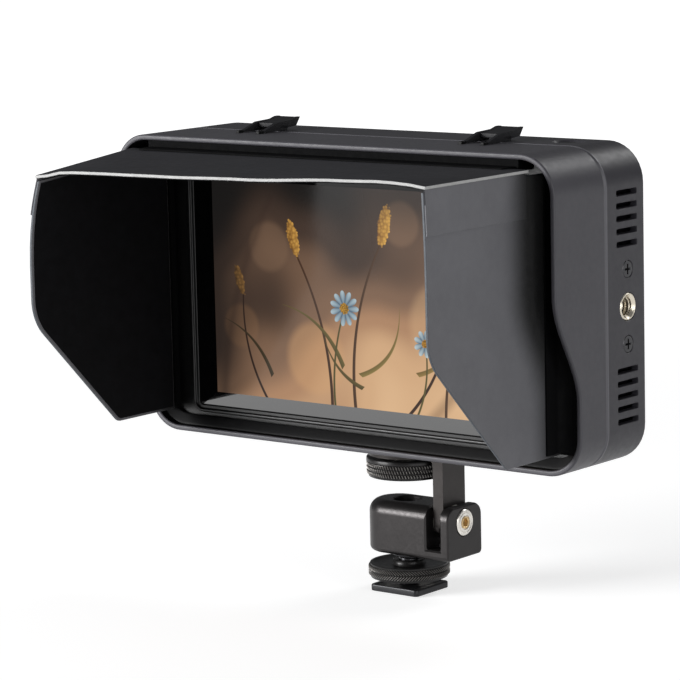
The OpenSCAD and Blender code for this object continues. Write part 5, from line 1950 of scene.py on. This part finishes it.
def makePlate(s):
    front, back, b = s["front"], s["back"], s["bevel"]

    def plateRing(y, inset):
        return [(a, y, c) for a, c in roundRect(s["width"], s["height"], s["corner"], inset, (0, midZ))]

    base = loft("plateBase", [plateRing(front, 0), plateRing(back - b, 0),
                              plateRing(back - b * 0.35, b * 0.3), plateRing(back, b)])
    cutters = []
    for sx in (-1, 1):
        for sz in (-1, 1):
            at = (sx * s["screwX"], 0, midZ + sz * s["screwZ"])
            cutters.append(lathe("seat", [(1.3, front - 1), (1.3, back - 1.75), (2.65, back - 1.5),
                                          (2.65, back - 0.2), (2.85, back), (2.85, back + 1)],
                                 "Y", at, 40))
    cutters.append(lathe("releaseHole", [(4.1, front - 1), (4.1, back - 0.25), (4.35, back),
                                         (4.35, back + 1)], "Y", (0, 0, midZ + s["releaseZ"]), 64))
    wide, tall = 2 * (s["contactX"] + s["contactWide"] / 2 + 1), s["contactLong"] + 2
    pocket = roundRect(wide, tall, 0.8, 0, (0, midZ + s["contactZ"]), 6)
    cutters.append(prism("pocket", pocket, back - 1.2, back + 1, "Y"))
    for sx in (-1, 1):
        for i in range(4):
            z = midZ - 5 + 4 * i
            rib = boxPiece("groove", (sx * 4 - 2.6, back - 0.35, z - 0.45),
                           (sx * 4 + 2.6, back + 1, z + 0.45))
            cutters.append(rib)
    base = carve(base, *cutters)
    pieces = [base]
    for sx in (-1, 1):
        for z in s["hookZ"]:
            inner, outer = s["hookX"] - s["hookWide"] / 2, s["hookX"] + s["hookWide"] / 2
            lowX = inner - s["hookOut"]
            top = back + s["hookStem"] + s["hookThick"]
            outline = [(inner, back - 0.2), (outer, back - 0.2), (outer, top), (lowX, top),
                       (lowX, back + s["hookStem"]),
                       (inner, back + s["hookStem"])]
            hook = prism("hook", [(sx * a, c) for a, c in outline], midZ + z, midZ + z + s["hookLong"], "Z")
            pieces.append(bevelled(hook, 0.25, 2, 40))
    return finished(joined("batteryPlate", pieces), "monitor", "plate_black", replaces=("battery_plate",))


def makeContacts(s):
    pieces = []
    for sx in (-1, 1):
        half = s["contactWide"] / 2
        z0, back = midZ + s["contactZ"], s["back"]
        side = [(-s["contactLong"] / 2, back - 1.2), (s["contactLong"] / 2, back - 1.2),
                (s["contactLong"] / 2, back - 0.4),
                (2.6, back + 0.85), (0, back + 1.0), (-2.6, back + 0.85),
                (-s["contactLong"] / 2, back - 0.4)]
        strip = prism("contact", [(y, z0 + z) for z, y in side], sx * s["contactX"] - half,
                      sx * s["contactX"] + half, "X")
        pieces.append(bevelled(strip, 0.15, 2, 20))
    return finished(joined("batteryContacts", pieces), "monitor", "contact_gold",
                    replaces=("battery_contacts",))


def makeRelease(s):
    r, top = s["releaseRadius"], s["back"] + s["releaseOut"]
    profile = [(5.0, 5.1), (5.0, 6.3), (r, 6.3), (r, top - 0.5), (r - 0.15, top - 0.18), (r - 0.5, top),
               (r - 1.0, top - 0.08),
               (1.8, top - 0.4), (0.6, top - 0.45)]
    cap = lathe("batteryRelease", profile, "Y", (0, 0, midZ + s["releaseZ"]), 72)
    grooves = []
    for i in range(3):
        z = midZ + s["releaseZ"] - 1.6 + 1.6 * i
        grooves.append(boxPiece("grip", (-2.2, top - 0.6, z - 0.25), (2.2, top + 1, z + 0.25)))
    cap = carve(cap, *grooves)
    cap.name = "batteryRelease"
    return finished(cap, "battery_release", "plate_black", replaces=("battery_release",))


makePlate(plate)
makeContacts(plate)
makeRelease(plate)
shortScrew = dict(screw, headRadius=2.5, length=4.5)
plateScrews = atCorners("batteryScrews", makeScrew(shortScrew), plate["screwX"], plate["screwZ"],
                        plate["back"])
finished(plateScrews, "monitor", "dark_steel", replaces=("battery_screws",))
print("battery plate made")
